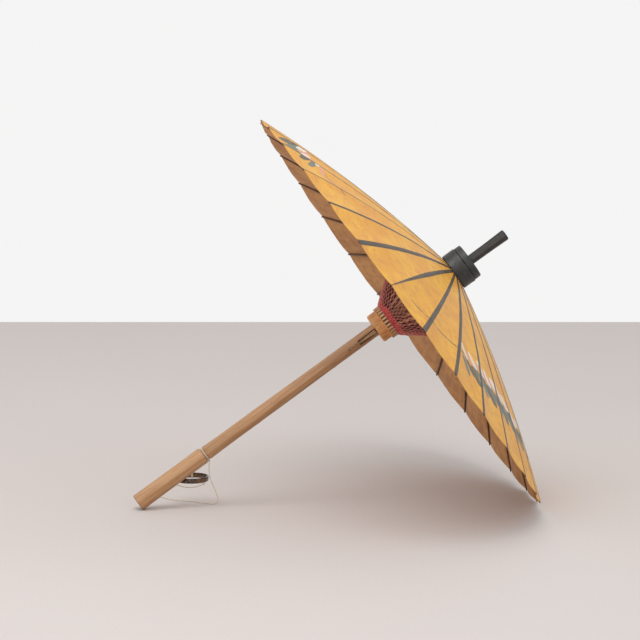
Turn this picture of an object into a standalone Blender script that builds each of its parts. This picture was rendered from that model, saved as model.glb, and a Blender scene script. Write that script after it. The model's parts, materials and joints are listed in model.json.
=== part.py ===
"""Oil paper umbrella, open, lying on its handle end and on two rib tips.

Everything on the shaft is modelled in the umbrella's own frame, whose origin is the
centre of the handle's end face and whose +Z runs up the shaft to the finial. That frame
is tilted onto the floor at the end. The ring and its strings are placed on the floor
frame, because they hang straight down. Units are metres.
"""
import math

import bmesh
import bpy
from mathutils import Matrix, Vector

# ribs and linkage
RIB_COUNT = 28
RIB_STEP = 2 * math.pi / RIB_COUNT
ROOF_SLOPE = math.radians(16.3)
CROWN_PIVOT_HEIGHT = 0.4905
CROWN_PIVOT_RADIUS = 0.0165
RUNNER_PIVOT_HEIGHT = 0.389
RUNNER_PIVOT_RADIUS = 0.0175
RIB_LENGTH = 0.2955
RIB_BOW = 0.0065
RIB_HEAD = 0.0021
RIB_HALF_HEIGHT = 0.0023
RIB_TIP_HALF_HEIGHT = 0.0013
TENON_WIDTH = 0.0014
TENON_LENGTH = 0.0115
RIB_WIDTH = 0.0034
RIB_TIP_WIDTH = 0.0025
JOINT_DISTANCE = 0.068
JOINT_DROP = 0.0003
RIB_SLOT = (0.046, 0.117)
RIB_SLOT_WIDTH = 0.0020
STRETCHER_WIDTH = 0.0013
STRETCHER_HALF_HEIGHT = 0.0020
PIN_HOLE_RADIUS = 0.00085
THREAD_RADIUS = 0.0004

# handle and shaft
GRIP_LENGTH = 0.1025
GRIP_RADIUS = 0.0110
GRIP_WAIST_RADIUS = 0.0106
GRIP_CHAMFER = 0.001
GRIP_BORE_RADIUS = 0.0083
GRIP_FLOOR = 0.006
GROOVE_END = 0.1065
GROOVE_RADIUS = 0.0080
COLLAR_RADIUS = 0.0092
SHAFT_RADIUS = 0.0083
SHAFT_TOP = 0.4990
TAPER_END = 0.285
FIT_GAP = 0.0003

# catch in the shaft, on its -Y side
SLIT_START = 0.328
SLIT_WIDTH = 0.0020
SLOT_START = 0.344
SLOT_END = 0.386
SLOT_WIDTH = 0.0072
SLOT_FLOOR = 0.0020
CATCH_START = 0.3295
CATCH_NECK = 0.3455
CATCH_END = 0.3695
CATCH_TAIL_WIDTH = 0.0013
CATCH_HEAD_WIDTH = 0.0054
CATCH_DEPTH = (0.0080, 0.0056)
CATCH_PIN_HEIGHT = 0.334
CATCH_PIN_DEPTH = 0.0068
CATCH_PIN_RADIUS = 0.0005
CATCH_PIN_HALF_LENGTH = 0.0041

# runner
RUNNER_BOTTOM = 0.371
RUNNER_SHOULDER = 0.3828
RUNNER_TOP = 0.393
RUNNER_RADIUS = 0.0194
RUNNER_RING_RADIUS = 0.0220
RUNNER_BORE_RADIUS = 0.0090
RUNNER_SLOT_FLOOR = 0.3845
HUB_SLOT_WIDTH = 0.0020
HUB_SLOT_INNER_RADIUS = 0.0130

# crown
HUB_BOTTOM = 0.4805
HUB_TOP = 0.4985
HUB_SLOT_TOP = 0.4945
HUB_RADIUS = 0.0205
HUB_BORE_RADIUS = 0.0086
COVER_BOTTOM = 0.4930
COVER_TOP = 0.5105
COVER_RADIUS = 0.0245
COVER_WALL = 0.0017
COVER_LID = 0.0025
CAP_TOP = 0.5195
CAP_RADIUS = 0.0236
FINIAL_BOTTOM = 0.4994
FINIAL_TIP = 0.575
FINIAL_RADIUS = 0.0066
FINIAL_TIP_RADIUS = 0.0074
FINIAL_HOLE_RADIUS = 0.0072
FINIAL_SIDES = 8

# paper and net
PAPER_THICKNESS = 0.0006
PAPER_GAP = 0.00035
PAPER_START = 0.0050
PAPER_END = 0.2930
NET_GAP = 0.0005
NET_THICKNESS = 0.0008
NET_START = 0.0065
NET_END = 0.082

# ring on its string, in the floor frame, from the point below the handle's end
RING_CENTRE = (0.0715, 0.0222, 0.0338)
RING_RADIUS = 0.0215
RING_WALL = 0.0022
RING_HEIGHT = 0.0065
RING_EDGE = 0.0007
BINDING_ANGLE = math.radians(83)
BINDING_HALF_LENGTH = 0.0016
BINDING_INNER = (0.00150, 0.00365)
BINDING_OUTER = (0.00215, 0.00430)
TIE_HEIGHT = 0.1045
TIE_RADIUS = 0.0090
TIE_SECTION = (0.0006, 0.0015)
STRING_RADIUS = 0.0005
STRING_POINT_SPACING = 0.0030
LONG_STRING_ROUTE = (
    (0.0912, -0.0004, 0.0606), (0.0908, 0.0016, 0.0545), (0.0912, 0.0062, 0.0470),
    (0.0921, 0.0116, 0.0408), (0.0935, 0.0154, 0.0354), (0.0958, 0.0166, 0.0290),
    (0.0988, 0.0165, 0.0220), (0.1016, 0.0162, 0.0148), (0.1034, 0.0161, 0.0086),
    (0.1036, 0.0162, 0.0044), (0.1014, 0.0165, 0.0015), (0.0973, 0.0176, 0.00065),
    (0.0915, 0.0208, 0.0006), (0.0847, 0.0260, 0.0006), (0.0780, 0.0316, 0.0006),
    (0.0724, 0.0366, 0.0006), (0.0650, 0.0402, 0.0006), (0.0570, 0.0435, 0.0006),
    (0.0500, 0.0495, 0.0006), (0.0440, 0.0575, 0.0006), (0.0390, 0.0660, 0.0006),
    (0.0344, 0.0740, 0.0006), (0.0296, 0.0806, 0.0006), (0.0240, 0.0850, 0.0006),
    (0.0180, 0.0872, 0.0006),
)
SHORT_STRING_ROUTE = (
    (0.0912, 0.0015, 0.0603), (0.0890, 0.0056, 0.0574), (0.0856, 0.0125, 0.0536),
    (0.0816, 0.0215, 0.0491), (0.0782, 0.0305, 0.0447), (0.0757, 0.0385, 0.0415),
    (0.0746, 0.0426, 0.0402), (0.0736, 0.0457, 0.0380), (0.0712, 0.0467, 0.0342),
    (0.0660, 0.0453, 0.0312), (0.0590, 0.0423, 0.0302), (0.0528, 0.0369, 0.0299),
    (0.0492, 0.0297, 0.0296), (0.0489, 0.0236, 0.0285), (0.0518, 0.0189, 0.0265),
    (0.0575, 0.0167, 0.0246), (0.0645, 0.0158, 0.0233), (0.0720, 0.0148, 0.0234),
    (0.0790, 0.0122, 0.0254), (0.0846, 0.0094, 0.0283),
)

# how finely round things are divided
ROUND_STEPS = 24
CROWN_STEPS = 40
RING_STEPS = 36
HOLE_SIDES = 8
TUNNEL_SIDES = 6
MERGE = 1e-5


def clear_scene():
    for obj in list(bpy.data.objects):
        bpy.data.objects.remove(obj, do_unlink=True)
    for group in list(bpy.data.collections):
        bpy.data.collections.remove(group)


def new_collection(name):
    group = bpy.data.collections.new(name)
    bpy.context.scene.collection.children.link(group)
    return group


def new_material(name, colour, roughness, metallic=0.0):
    material = bpy.data.materials.new(name)
    material.use_nodes = True
    shader = material.node_tree.nodes["Principled BSDF"]
    shader.inputs["Base Color"].default_value = (*colour, 1.0)
    shader.inputs["Roughness"].default_value = roughness
    shader.inputs["Metallic"].default_value = metallic
    material.diffuse_color = (*colour, 1.0)
    return material


def add_object(name, data, group, parent=None, material=None):
    obj = bpy.data.objects.new(name, data)
    group.objects.link(obj)
    obj.parent = parent
    if material is not None and not data.materials:
        data.materials.append(material)
    return obj


def make_cutter(obj):
    obj.hide_render = True
    obj.display_type = "WIRE"
    return obj


def cut(obj, *cutters):
    for cutter in cutters:
        boolean = obj.modifiers.new("cut_" + cutter.name, "BOOLEAN")
        boolean.operation = "DIFFERENCE"
        boolean.solver = "EXACT"
        boolean.object = cutter


def turned_mesh(name, profile, closed):
    """The mesh of a profile in the XZ plane: its points joined in order."""
    mesh = bpy.data.meshes.new(name)
    bm = bmesh.new()
    points = [bm.verts.new((radius, 0.0, height)) for radius, height in profile]
    for first, second in zip(points, points[1:]):
        bm.edges.new((first, second))
    if closed:
        bm.edges.new((points[-1], points[0]))
    bm.to_mesh(mesh)
    bm.free()
    return mesh


def add_screw(obj, steps):
    screw = obj.modifiers.new("turn", "SCREW")
    screw.axis = "Z"
    screw.angle = 2 * math.pi
    screw.steps = steps
    screw.render_steps = steps
    screw.use_merge_vertices = True
    screw.merge_threshold = MERGE
    screw.use_smooth_shade = True


def turned(name, profile, steps, group, parent, material, closed=False):
    """A turned piece. The profile runs down the outer side, and up any bore."""
    obj = add_object(name, turned_mesh(name, profile, closed), group, parent, material)
    add_screw(obj, steps)
    return obj


def bar_mesh(name, stations, place):
    """A bar sliced at each station; place(station, side, up) gives each corner's point."""
    mesh = bpy.data.meshes.new(name)
    bm = bmesh.new()
    first, last = stations[0], stations[-1]
    bmesh.ops.create_cube(bm, size=1.0)
    for vertex in bm.verts:
        vertex.co.x = first if vertex.co.x < 0 else last
    for station in stations[1:-1]:
        everything = bm.verts[:] + bm.edges[:] + bm.faces[:]
        bmesh.ops.bisect_plane(bm, geom=everything, plane_co=(station, 0, 0), plane_no=(1, 0, 0))
    for vertex in bm.verts:
        side = 1 if vertex.co.y > 0 else -1
        up = 1 if vertex.co.z > 0 else -1
        vertex.co = place(vertex.co.x, side, up)
    bm.to_mesh(mesh)
    bm.free()
    return mesh


def box_cutter(name, boxes, group, parent):
    """One cutter holding several boxes, each given as a matrix on a unit cube."""
    mesh = bpy.data.meshes.new(name)
    bm = bmesh.new()
    for matrix in boxes:
        bmesh.ops.create_cube(bm, size=1.0, matrix=matrix)
    bm.to_mesh(mesh)
    bm.free()
    return make_cutter(add_object(name, mesh, group, parent))


def rod_mesh(name, radius, half_length, sides, axis_matrix):
    mesh = bpy.data.meshes.new(name)
    bm = bmesh.new()
    bmesh.ops.create_cone(bm, cap_ends=True, segments=sides, radius1=radius, radius2=radius,
                          depth=2 * half_length, matrix=axis_matrix)
    bm.to_mesh(mesh)
    bm.free()
    return mesh


def circle_profile(centre_radius, centre_height, radius_section, height_section, sides):
    """A closed round section, running down its outer side."""
    points = []
    for index in range(sides):
        angle = math.pi / 2 - 2 * math.pi * index / sides
        points.append((centre_radius + radius_section * math.cos(angle),
                       centre_height + height_section * math.sin(angle)))
    return points


def along_y():
    return Matrix.Rotation(math.pi / 2, 4, "X")


def along_x():
    return Matrix.Rotation(math.pi / 2, 4, "Y")


def rib_angle(number):
    """Azimuth of rib 1, 2, ... about the shaft; 0 is straight down towards the floor."""
    return (number - 0.5) * RIB_STEP


def bow(distance):
    share = distance / RIB_LENGTH
    return 4 * RIB_BOW * share * (1 - share)


def rib_half_height(distance):
    if distance < TENON_LENGTH + MERGE:
        return RIB_HEAD
    taper_start = RIB_SLOT[1]
    if distance <= taper_start:
        return RIB_HALF_HEIGHT
    share = (distance - taper_start) / (RIB_LENGTH - taper_start)
    return RIB_HALF_HEIGHT + (RIB_TIP_HALF_HEIGHT - RIB_HALF_HEIGHT) * share


def rib_width(distance):
    if distance < TENON_LENGTH + MERGE:
        return TENON_WIDTH
    if distance <= RIB_SLOT[1]:
        return RIB_WIDTH
    share = (distance - RIB_SLOT[1]) / (RIB_LENGTH - RIB_SLOT[1])
    return RIB_WIDTH + (RIB_TIP_WIDTH - RIB_WIDTH) * share


def rib_point(distance, rise):
    """Radius from the crown pivot and height above it, at a distance down the rib."""
    lifted = bow(distance) + rise if distance > 0 else rise
    return (distance * math.cos(ROOF_SLOPE) + lifted * math.sin(ROOF_SLOPE),
            lifted * math.cos(ROOF_SLOPE) - distance * math.sin(ROOF_SLOPE))


def rib_corner(distance, side, up):
    x, z = rib_point(distance, up * rib_half_height(distance))
    return Vector((x, side * rib_width(distance) / 2, z))


def rib_joint_point():
    """The stretcher's pivot on the rib, from the crown pivot."""
    return rib_point(JOINT_DISTANCE, -JOINT_DROP)


def tilt_and_lift():
    """Shaft angle and handle height that put the grip's edge and two rib tips on the floor."""
    grip_out, grip_up = GRIP_RADIUS, GRIP_CHAMFER
    tip = rib_corner(RIB_LENGTH, 1, -1)
    tip_up = CROWN_PIVOT_HEIGHT + tip.z
    half_step = RIB_STEP / 2
    tip_out = (CROWN_PIVOT_RADIUS + tip.x) * math.cos(half_step) + tip.y * math.sin(half_step)
    tilt = math.atan2(tip_out - grip_out, tip_up - grip_up)
    lift = grip_out * math.cos(tilt) - grip_up * math.sin(tilt)
    return tilt, lift


def centre_offset(tilt):
    """Where the handle's end goes along X so that the umbrella is centred on the origin."""
    back = -(GRIP_RADIUS - GRIP_CHAMFER) * math.sin(tilt)
    tip = rib_corner(RIB_LENGTH, 1, 1)
    half_step = RIB_STEP / 2
    tip_out = (CROWN_PIVOT_RADIUS + tip.x) * math.cos(half_step) + tip.y * math.sin(half_step)
    front = (CROWN_PIVOT_HEIGHT + tip.z) * math.cos(tilt) + tip_out * math.sin(tilt)
    return -(back + front) / 2


def make_frames(group):
    """Two empties: one on the shaft's axis, and one on the floor below the handle's end."""
    tilt, lift = tilt_and_lift()
    offset = centre_offset(tilt)
    shaft_frame = bpy.data.objects.new("shaft_frame", None)
    shaft_frame.location = (offset, 0, lift)
    shaft_frame.rotation_euler = (0, math.pi / 2 - tilt, 0)
    floor_frame = bpy.data.objects.new("floor_frame", None)
    floor_frame.location = (offset, 0, 0)
    for frame in (shaft_frame, floor_frame):
        frame.empty_display_size = 0.05
        group.objects.link(frame)
    return shaft_frame, floor_frame


def make_handle(parts, frame, material):
    profile = [
        (0.0, GRIP_FLOOR),
        (GRIP_BORE_RADIUS, GRIP_FLOOR),
        (GRIP_BORE_RADIUS, GRIP_LENGTH),
        (GRIP_WAIST_RADIUS - 0.0008, GRIP_LENGTH),
        (GRIP_WAIST_RADIUS + 0.0002, GRIP_LENGTH - 0.0016),
        (GRIP_WAIST_RADIUS, 0.6 * GRIP_LENGTH),
        (GRIP_WAIST_RADIUS, 0.35 * GRIP_LENGTH),
        (GRIP_RADIUS, GRIP_CHAMFER),
        (GRIP_RADIUS - GRIP_CHAMFER, 0.0),
        (0.0, 0.0),
    ]
    turned("handle_grip", profile, ROUND_STEPS, parts, frame, material)


def make_shaft(parts, cutters, frame, material):
    profile = [
        (0.0, SHAFT_TOP),
        (SHAFT_RADIUS - 0.0001, SHAFT_TOP),
        (SHAFT_RADIUS, TAPER_END),
        (COLLAR_RADIUS - 0.0003, GROOVE_END + 0.02),
        (COLLAR_RADIUS, GROOVE_END + 0.0012),
        (COLLAR_RADIUS - 0.0006, GROOVE_END),
        (GROOVE_RADIUS, GROOVE_END),
        (GROOVE_RADIUS, GRIP_FLOOR + FIT_GAP),
        (0.0, GRIP_FLOOR + FIT_GAP),
    ]
    shaft = turned("shaft", profile, ROUND_STEPS, parts, frame, material)
    outside = 2 * SHAFT_RADIUS
    broad = slot_box(SLOT_START, SLOT_END, SLOT_WIDTH, SLOT_FLOOR, outside)
    narrow = slot_box(SLIT_START, SLOT_START + FIT_GAP, SLIT_WIDTH, SLOT_FLOOR, outside)
    slots = box_cutter("shaft_slots", [broad], cutters, frame)
    slit = box_cutter("shaft_slit", [narrow], cutters, frame)
    hole_place = Matrix.Translation((0, -CATCH_PIN_DEPTH, CATCH_PIN_HEIGHT)) @ along_x()
    hole = rod_mesh("shaft_pin_hole", PIN_HOLE_RADIUS, SHAFT_RADIUS, HOLE_SIDES, hole_place)
    pin_hole = make_cutter(add_object("shaft_pin_hole", hole, cutters, frame))
    cut(shaft, slots, slit, pin_hole)


def slot_box(start, end, width, floor_depth, outside):
    middle = Vector((0, -(floor_depth + outside) / 2, (start + end) / 2))
    size = Matrix.Diagonal((width, outside - floor_depth, end - start, 1))
    return Matrix.Translation(middle) @ size


def make_catch(parts, cutters, frame, material, pin_material):
    """A flat bamboo tongue: a thin tail in the slit and a broad head in the slot."""
    outer, inner = CATCH_DEPTH
    hinge = Vector((0, -CATCH_PIN_DEPTH, CATCH_PIN_HEIGHT))

    def corner(height, side, up):
        width = CATCH_TAIL_WIDTH if height < CATCH_NECK else CATCH_HEAD_WIDTH
        depth = outer if up > 0 else inner
        return Vector((-side * width / 2, -depth, height)) - hinge

    stations = [CATCH_START, CATCH_NECK - 0.0004, CATCH_NECK, CATCH_END]
    mesh = bar_mesh("catch_lever", stations, corner)
    catch = add_object("catch_lever", mesh, parts, frame, material)
    catch.location = hinge
    hole_data = rod_mesh("catch_pin_hole", PIN_HOLE_RADIUS, CATCH_TAIL_WIDTH, HOLE_SIDES, along_x())
    hole = make_cutter(add_object("catch_pin_hole", hole_data, cutters, frame))
    hole.location = hinge
    cut(catch, hole)
    pin_data = rod_mesh("catch_pin", CATCH_PIN_RADIUS, CATCH_PIN_HALF_LENGTH, HOLE_SIDES, along_x())
    pin = add_object("catch_pin", pin_data, parts, frame, pin_material)
    pin.location = hinge


def slot_boxes(inner_radius, outer_radius, bottom, top):
    boxes = []
    for number in range(1, RIB_COUNT + 1):
        middle = Matrix.Translation(((inner_radius + outer_radius) / 2, 0, (bottom + top) / 2))
        size = Matrix.Diagonal((outer_radius - inner_radius, HUB_SLOT_WIDTH, top - bottom, 1))
        boxes.append(Matrix.Rotation(rib_angle(number), 4, "Z") @ middle @ size)
    return boxes


def make_thread_ring(name, radius, height, section, sides, group, frame, material=None):
    """A ring of thread on a pivot circle, or the tunnel cut for it."""
    profile = circle_profile(radius, height, section, section, sides)
    return turned(name, profile, RIB_COUNT, group, frame, material, closed=True)


def make_runner(parts, cutters, frame, wood, thread):
    profile = [
        (RUNNER_RING_RADIUS, RUNNER_TOP),
        (RUNNER_RING_RADIUS, RUNNER_SHOULDER + 0.0006),
        (RUNNER_RING_RADIUS - 0.0006, RUNNER_SHOULDER),
        (RUNNER_RADIUS, RUNNER_SHOULDER - 0.0002),
        (RUNNER_RADIUS, RUNNER_BOTTOM + 0.0014),
        (RUNNER_RADIUS - 0.0014, RUNNER_BOTTOM),
        (RUNNER_BORE_RADIUS, RUNNER_BOTTOM),
        (RUNNER_BORE_RADIUS, RUNNER_TOP),
    ]
    runner = turned("runner", profile, RIB_COUNT, parts, frame, wood, closed=True)
    boxes = slot_boxes(HUB_SLOT_INNER_RADIUS, 1.2 * RUNNER_RING_RADIUS, RUNNER_SLOT_FLOOR,
                       RUNNER_TOP + RUNNER_PIVOT_RADIUS - HUB_SLOT_INNER_RADIUS)
    slots = box_cutter("runner_slots", boxes, cutters, frame)
    tunnel = make_thread_ring("runner_tunnel", RUNNER_PIVOT_RADIUS, RUNNER_PIVOT_HEIGHT,
                              PIN_HOLE_RADIUS, TUNNEL_SIDES, cutters, frame)
    cut(runner, slots, make_cutter(tunnel))
    make_thread_ring("runner_thread", RUNNER_PIVOT_RADIUS, RUNNER_PIVOT_HEIGHT, THREAD_RADIUS,
                     TUNNEL_SIDES, parts, frame, thread)


def make_crown(parts, cutters, frame, wood, thread, lacquer):
    hub_profile = [
        (HUB_RADIUS, HUB_TOP),
        (HUB_RADIUS, HUB_BOTTOM),
        (HUB_BORE_RADIUS, HUB_BOTTOM),
        (HUB_BORE_RADIUS, HUB_TOP),
    ]
    hub = turned("crown_notch", hub_profile, RIB_COUNT, parts, frame, wood, closed=True)
    boxes = slot_boxes(HUB_SLOT_INNER_RADIUS, 1.2 * HUB_RADIUS, HUB_BOTTOM - HUB_RADIUS, HUB_SLOT_TOP)
    slots = box_cutter("crown_slots", boxes, cutters, frame)
    tunnel = make_thread_ring("crown_tunnel", CROWN_PIVOT_RADIUS, CROWN_PIVOT_HEIGHT,
                              PIN_HOLE_RADIUS, TUNNEL_SIDES, cutters, frame)
    cut(hub, slots, make_cutter(tunnel))
    make_thread_ring("crown_thread", CROWN_PIVOT_RADIUS, CROWN_PIVOT_HEIGHT, THREAD_RADIUS,
                     TUNNEL_SIDES, parts, frame, thread)

    cover_profile = [
        (FINIAL_HOLE_RADIUS, COVER_TOP),
        (COVER_RADIUS - 0.0008, COVER_TOP),
        (COVER_RADIUS, COVER_TOP - 0.0008),
        (COVER_RADIUS, COVER_BOTTOM),
        (COVER_RADIUS - COVER_WALL, COVER_BOTTOM),
        (COVER_RADIUS - COVER_WALL, COVER_TOP - COVER_LID),
        (FINIAL_HOLE_RADIUS, COVER_TOP - COVER_LID),
    ]
    turned("crown_cover", cover_profile, CROWN_STEPS, parts, frame, lacquer, closed=True)
    cap_bottom = COVER_TOP + FIT_GAP
    cap_profile = [
        (FINIAL_HOLE_RADIUS, CAP_TOP),
        (CAP_RADIUS - 0.0010, CAP_TOP),
        (CAP_RADIUS, CAP_TOP - 0.0010),
        (CAP_RADIUS, cap_bottom),
        (FINIAL_HOLE_RADIUS, cap_bottom),
    ]
    turned("crown_cap", cap_profile, CROWN_STEPS, parts, frame, lacquer, closed=True)


def make_finial(parts, frame, lacquer):
    """An eight-sided peg that stands on the shaft's top, a little wider at its tip."""
    profile = [
        (0.0, FINIAL_TIP),
        (FINIAL_TIP_RADIUS - 0.0007, FINIAL_TIP),
        (FINIAL_TIP_RADIUS, FINIAL_TIP - 0.0012),
        (FINIAL_RADIUS, CAP_TOP + 0.004),
        (FINIAL_RADIUS, FINIAL_BOTTOM),
        (0.0, FINIAL_BOTTOM),
    ]
    turned("finial", profile, FINIAL_SIDES, parts, frame, lacquer)


def make_rib_mesh(scratch_group, material):
    """One rib with its thread hole and its stretcher slot, about its crown pivot."""
    stations = [-RIB_HEAD, 0.006, TENON_LENGTH, TENON_LENGTH + 0.004, RIB_SLOT[0] - 0.006,
                JOINT_DISTANCE, 0.092, RIB_SLOT[1] + 0.006, 0.155, 0.195, 0.245, RIB_LENGTH]
    solid = add_object("rib_solid", bar_mesh("rib_solid", stations, rib_corner), scratch_group)
    slot_centre = sum(RIB_SLOT) / 2
    centre_x, centre_z = rib_point(slot_centre, 0.0)
    slot_place = Matrix.Translation((centre_x, 0, centre_z)) @ Matrix.Rotation(ROOF_SLOPE, 4, "Y")
    slot_size = Matrix.Diagonal((RIB_SLOT[1] - RIB_SLOT[0], RIB_SLOT_WIDTH, 6 * RIB_HALF_HEIGHT, 1))
    slot = box_cutter("rib_slot", [slot_place @ slot_size], scratch_group, None)
    hole_mesh = rod_mesh("rib_hole", PIN_HOLE_RADIUS, RIB_WIDTH, HOLE_SIDES, along_y())
    hole = make_cutter(add_object("rib_hole", hole_mesh, scratch_group))
    cut(solid, slot, hole)
    graph = bpy.context.evaluated_depsgraph_get()
    mesh = bpy.data.meshes.new_from_object(solid.evaluated_get(graph))
    mesh.name = "rib"
    mesh.materials.clear()
    mesh.materials.append(material)
    bpy.data.objects.remove(solid)
    return mesh


def make_ribs(parts, cutters, frame, material):
    mesh = make_rib_mesh(cutters, material)
    for number in range(1, RIB_COUNT + 1):
        angle = rib_angle(number)
        rib = add_object("rib_%02d" % number, mesh, parts, frame)
        rib.location = (CROWN_PIVOT_RADIUS * math.cos(angle), CROWN_PIVOT_RADIUS * math.sin(angle),
                        CROWN_PIVOT_HEIGHT)
        rib.rotation_euler = (0, 0, angle)


def stretcher_span():
    """Length of a stretcher between its pivots, and its angle up from the horizontal."""
    joint_x, joint_z = rib_joint_point()
    across = CROWN_PIVOT_RADIUS + joint_x - RUNNER_PIVOT_RADIUS
    up = CROWN_PIVOT_HEIGHT + joint_z - RUNNER_PIVOT_HEIGHT
    return math.hypot(across, up), math.atan2(up, across)


def add_outline(curve, points):
    spline = curve.splines.new("POLY")
    spline.points.add(len(points) - 1)
    for spline_point, (x, y) in zip(spline.points, points):
        spline_point.co = (x, y, 0, 1)
    spline.use_cyclic_u = True


def arc(centre_x, radius, start, end, count):
    """Points on an arc about (centre_x, 0), from one angle to another."""
    points = []
    for index in range(count):
        angle = start + (end - start) * index / (count - 1)
        points.append((centre_x + radius * math.cos(angle), radius * math.sin(angle)))
    return points


def flat_plate(name, outlines, thickness):
    """A flat outline in the XY plane; further outlines are its holes."""
    curve = bpy.data.curves.new(name, "CURVE")
    curve.dimensions = "2D"
    curve.fill_mode = "BOTH"
    curve.extrude = thickness / 2
    for points in outlines:
        add_outline(curve, points)
    return curve


def make_stretchers(parts, frame, material):
    """Every second stretcher: a thin blade between the runner's pivot and the rib's."""
    length, rise = stretcher_span()
    half = STRETCHER_HALF_HEIGHT
    outer = arc(length, half, -math.pi / 2, math.pi / 2, 5)
    inner = arc(0.0, half, math.pi / 2, 3 * math.pi / 2, 5)
    full_turn = 2 * math.pi * (HOLE_SIDES - 1) / HOLE_SIDES
    holes = [arc(x, PIN_HOLE_RADIUS, 0, full_turn, HOLE_SIDES) for x in (0.0, length)]
    blade = flat_plate("stretcher", [outer + inner] + holes, STRETCHER_WIDTH)
    blade.materials.append(material)
    stand_up = Matrix.Rotation(-rise, 4, "Y") @ along_y()
    for number in range(1, RIB_COUNT + 1, 2):
        angle = rib_angle(number)
        pivot = Matrix.Translation((RUNNER_PIVOT_RADIUS, 0, RUNNER_PIVOT_HEIGHT))
        place = Matrix.Rotation(angle, 4, "Z") @ pivot @ stand_up
        stretcher = add_object("stretcher_%02d" % number, blade, parts, frame)
        stretcher.location = place.to_translation()
        stretcher.rotation_euler = place.to_euler()


def add_solidify(obj, thickness):
    solidify = obj.modifiers.new("thickness", "SOLIDIFY")
    solidify.thickness = thickness
    solidify.offset = -1.0


def make_canopy(parts, frame, material):
    """The paper: a shallow roof with a fold over each rib and flat sides between."""
    profile = []
    for distance in (PAPER_START, 0.06, 0.12, 0.18, 0.24, PAPER_END):
        rise = rib_half_height(max(distance, 2 * TENON_LENGTH)) + PAPER_GAP + PAPER_THICKNESS
        x, z = rib_point(distance, rise)
        profile.append((CROWN_PIVOT_RADIUS + x, CROWN_PIVOT_HEIGHT + z))
    canopy = turned("canopy", profile, RIB_COUNT, parts, frame, material)
    canopy.rotation_euler = (0, 0, RIB_STEP / 2)
    add_solidify(canopy, PAPER_THICKNESS)


def make_net(parts, frame, material):
    """The lacing below the stretchers: a cone of net from the runner upwards."""
    length, rise = stretcher_span()
    below = STRETCHER_HALF_HEIGHT + NET_GAP
    profile = []
    for distance in (NET_END, NET_START):
        x = RUNNER_PIVOT_RADIUS + distance * math.cos(rise) + below * math.sin(rise)
        z = RUNNER_PIVOT_HEIGHT + distance * math.sin(rise) - below * math.cos(rise)
        profile.append((x, z))
    net = turned("lacing_net", profile, RIB_COUNT, parts, frame, material)
    net.rotation_euler = (0, 0, RIB_STEP / 2)
    solidify = net.modifiers.new("thickness", "SOLIDIFY")
    solidify.thickness = NET_THICKNESS
    solidify.offset = 1.0


def make_ring(parts, floor_frame, horn, thread):
    half = RING_HEIGHT / 2
    inner_radius = RING_RADIUS - RING_WALL
    profile = [
        (RING_RADIUS - RING_EDGE, half),
        (RING_RADIUS, half - RING_EDGE),
        (RING_RADIUS, RING_EDGE - half),
        (RING_RADIUS - RING_EDGE, -half),
        (inner_radius + RING_EDGE, -half),
        (inner_radius, RING_EDGE - half),
        (inner_radius, half - RING_EDGE),
        (inner_radius + RING_EDGE, half),
    ]
    ring = turned("ring", profile, RING_STEPS, parts, floor_frame, horn, closed=True)
    ring.location = RING_CENTRE
    outlines = []
    for half_width, half_height in (BINDING_OUTER, BINDING_INNER):
        edge = half_width / 3
        outlines.append([
            (half_width, half_height - edge), (half_width - edge, half_height),
            (edge - half_width, half_height), (-half_width, half_height - edge),
            (-half_width, edge - half_height), (edge - half_width, -half_height),
            (half_width - edge, -half_height), (half_width, edge - half_height),
        ])
    sleeve = flat_plate("ring_binding", outlines, 2 * BINDING_HALF_LENGTH)
    binding = add_object("ring_binding", sleeve, parts, floor_frame, thread)
    reach = RING_RADIUS - RING_WALL / 2
    place = (Matrix.Translation(RING_CENTRE) @ Matrix.Rotation(BINDING_ANGLE, 4, "Z")
             @ Matrix.Translation((reach, 0, 0)) @ along_y())
    binding.location = place.to_translation()
    binding.rotation_euler = place.to_euler()


def smooth_route(route, spacing):
    """Points read from a smooth curve through the route, a fixed distance apart."""
    points = [Vector(point) for point in route]
    ends = [2 * points[0] - points[1]] + points + [2 * points[-1] - points[-2]]
    fine = []
    for before, start, end, after in zip(ends, ends[1:], ends[2:], ends[3:]):
        for step in range(20):
            t = step / 20
            fine.append(0.5 * (2 * start + (end - before) * t
                               + (2 * before - 5 * start + 4 * end - after) * t * t
                               + (3 * start - before - 3 * end + after) * t ** 3))
    fine.append(points[-1])
    total = sum((second - first).length for first, second in zip(fine, fine[1:]))
    count = max(2, round(total / spacing))
    step_length = total / count
    read = [fine[0]]
    travelled = 0.0
    for first, second in zip(fine, fine[1:]):
        piece = (second - first).length
        while travelled + piece >= step_length * len(read) - 1e-9 and len(read) < count:
            share = (step_length * len(read) - travelled) / piece
            read.append(first.lerp(second, share))
        travelled += piece
    read.append(fine[-1])
    return read


def make_string(name, route, parts, floor_frame, material):
    curve = bpy.data.curves.new(name, "CURVE")
    curve.dimensions = "3D"
    curve.bevel_depth = STRING_RADIUS
    curve.bevel_resolution = 2
    curve.use_fill_caps = True
    spline = curve.splines.new("POLY")
    points = smooth_route(route, STRING_POINT_SPACING)
    spline.points.add(len(points) - 1)
    for spline_point, point in zip(spline.points, points):
        spline_point.co = (*point, 1)
    add_object(name, curve, parts, floor_frame, material)


def make_tie(parts, frame, material):
    """The turns of string in the groove above the grip."""
    profile = circle_profile(TIE_RADIUS, TIE_HEIGHT, TIE_SECTION[0], TIE_SECTION[1], HOLE_SIDES)
    turned("string_tie", profile, ROUND_STEPS, parts, frame, material, closed=True)


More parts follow.
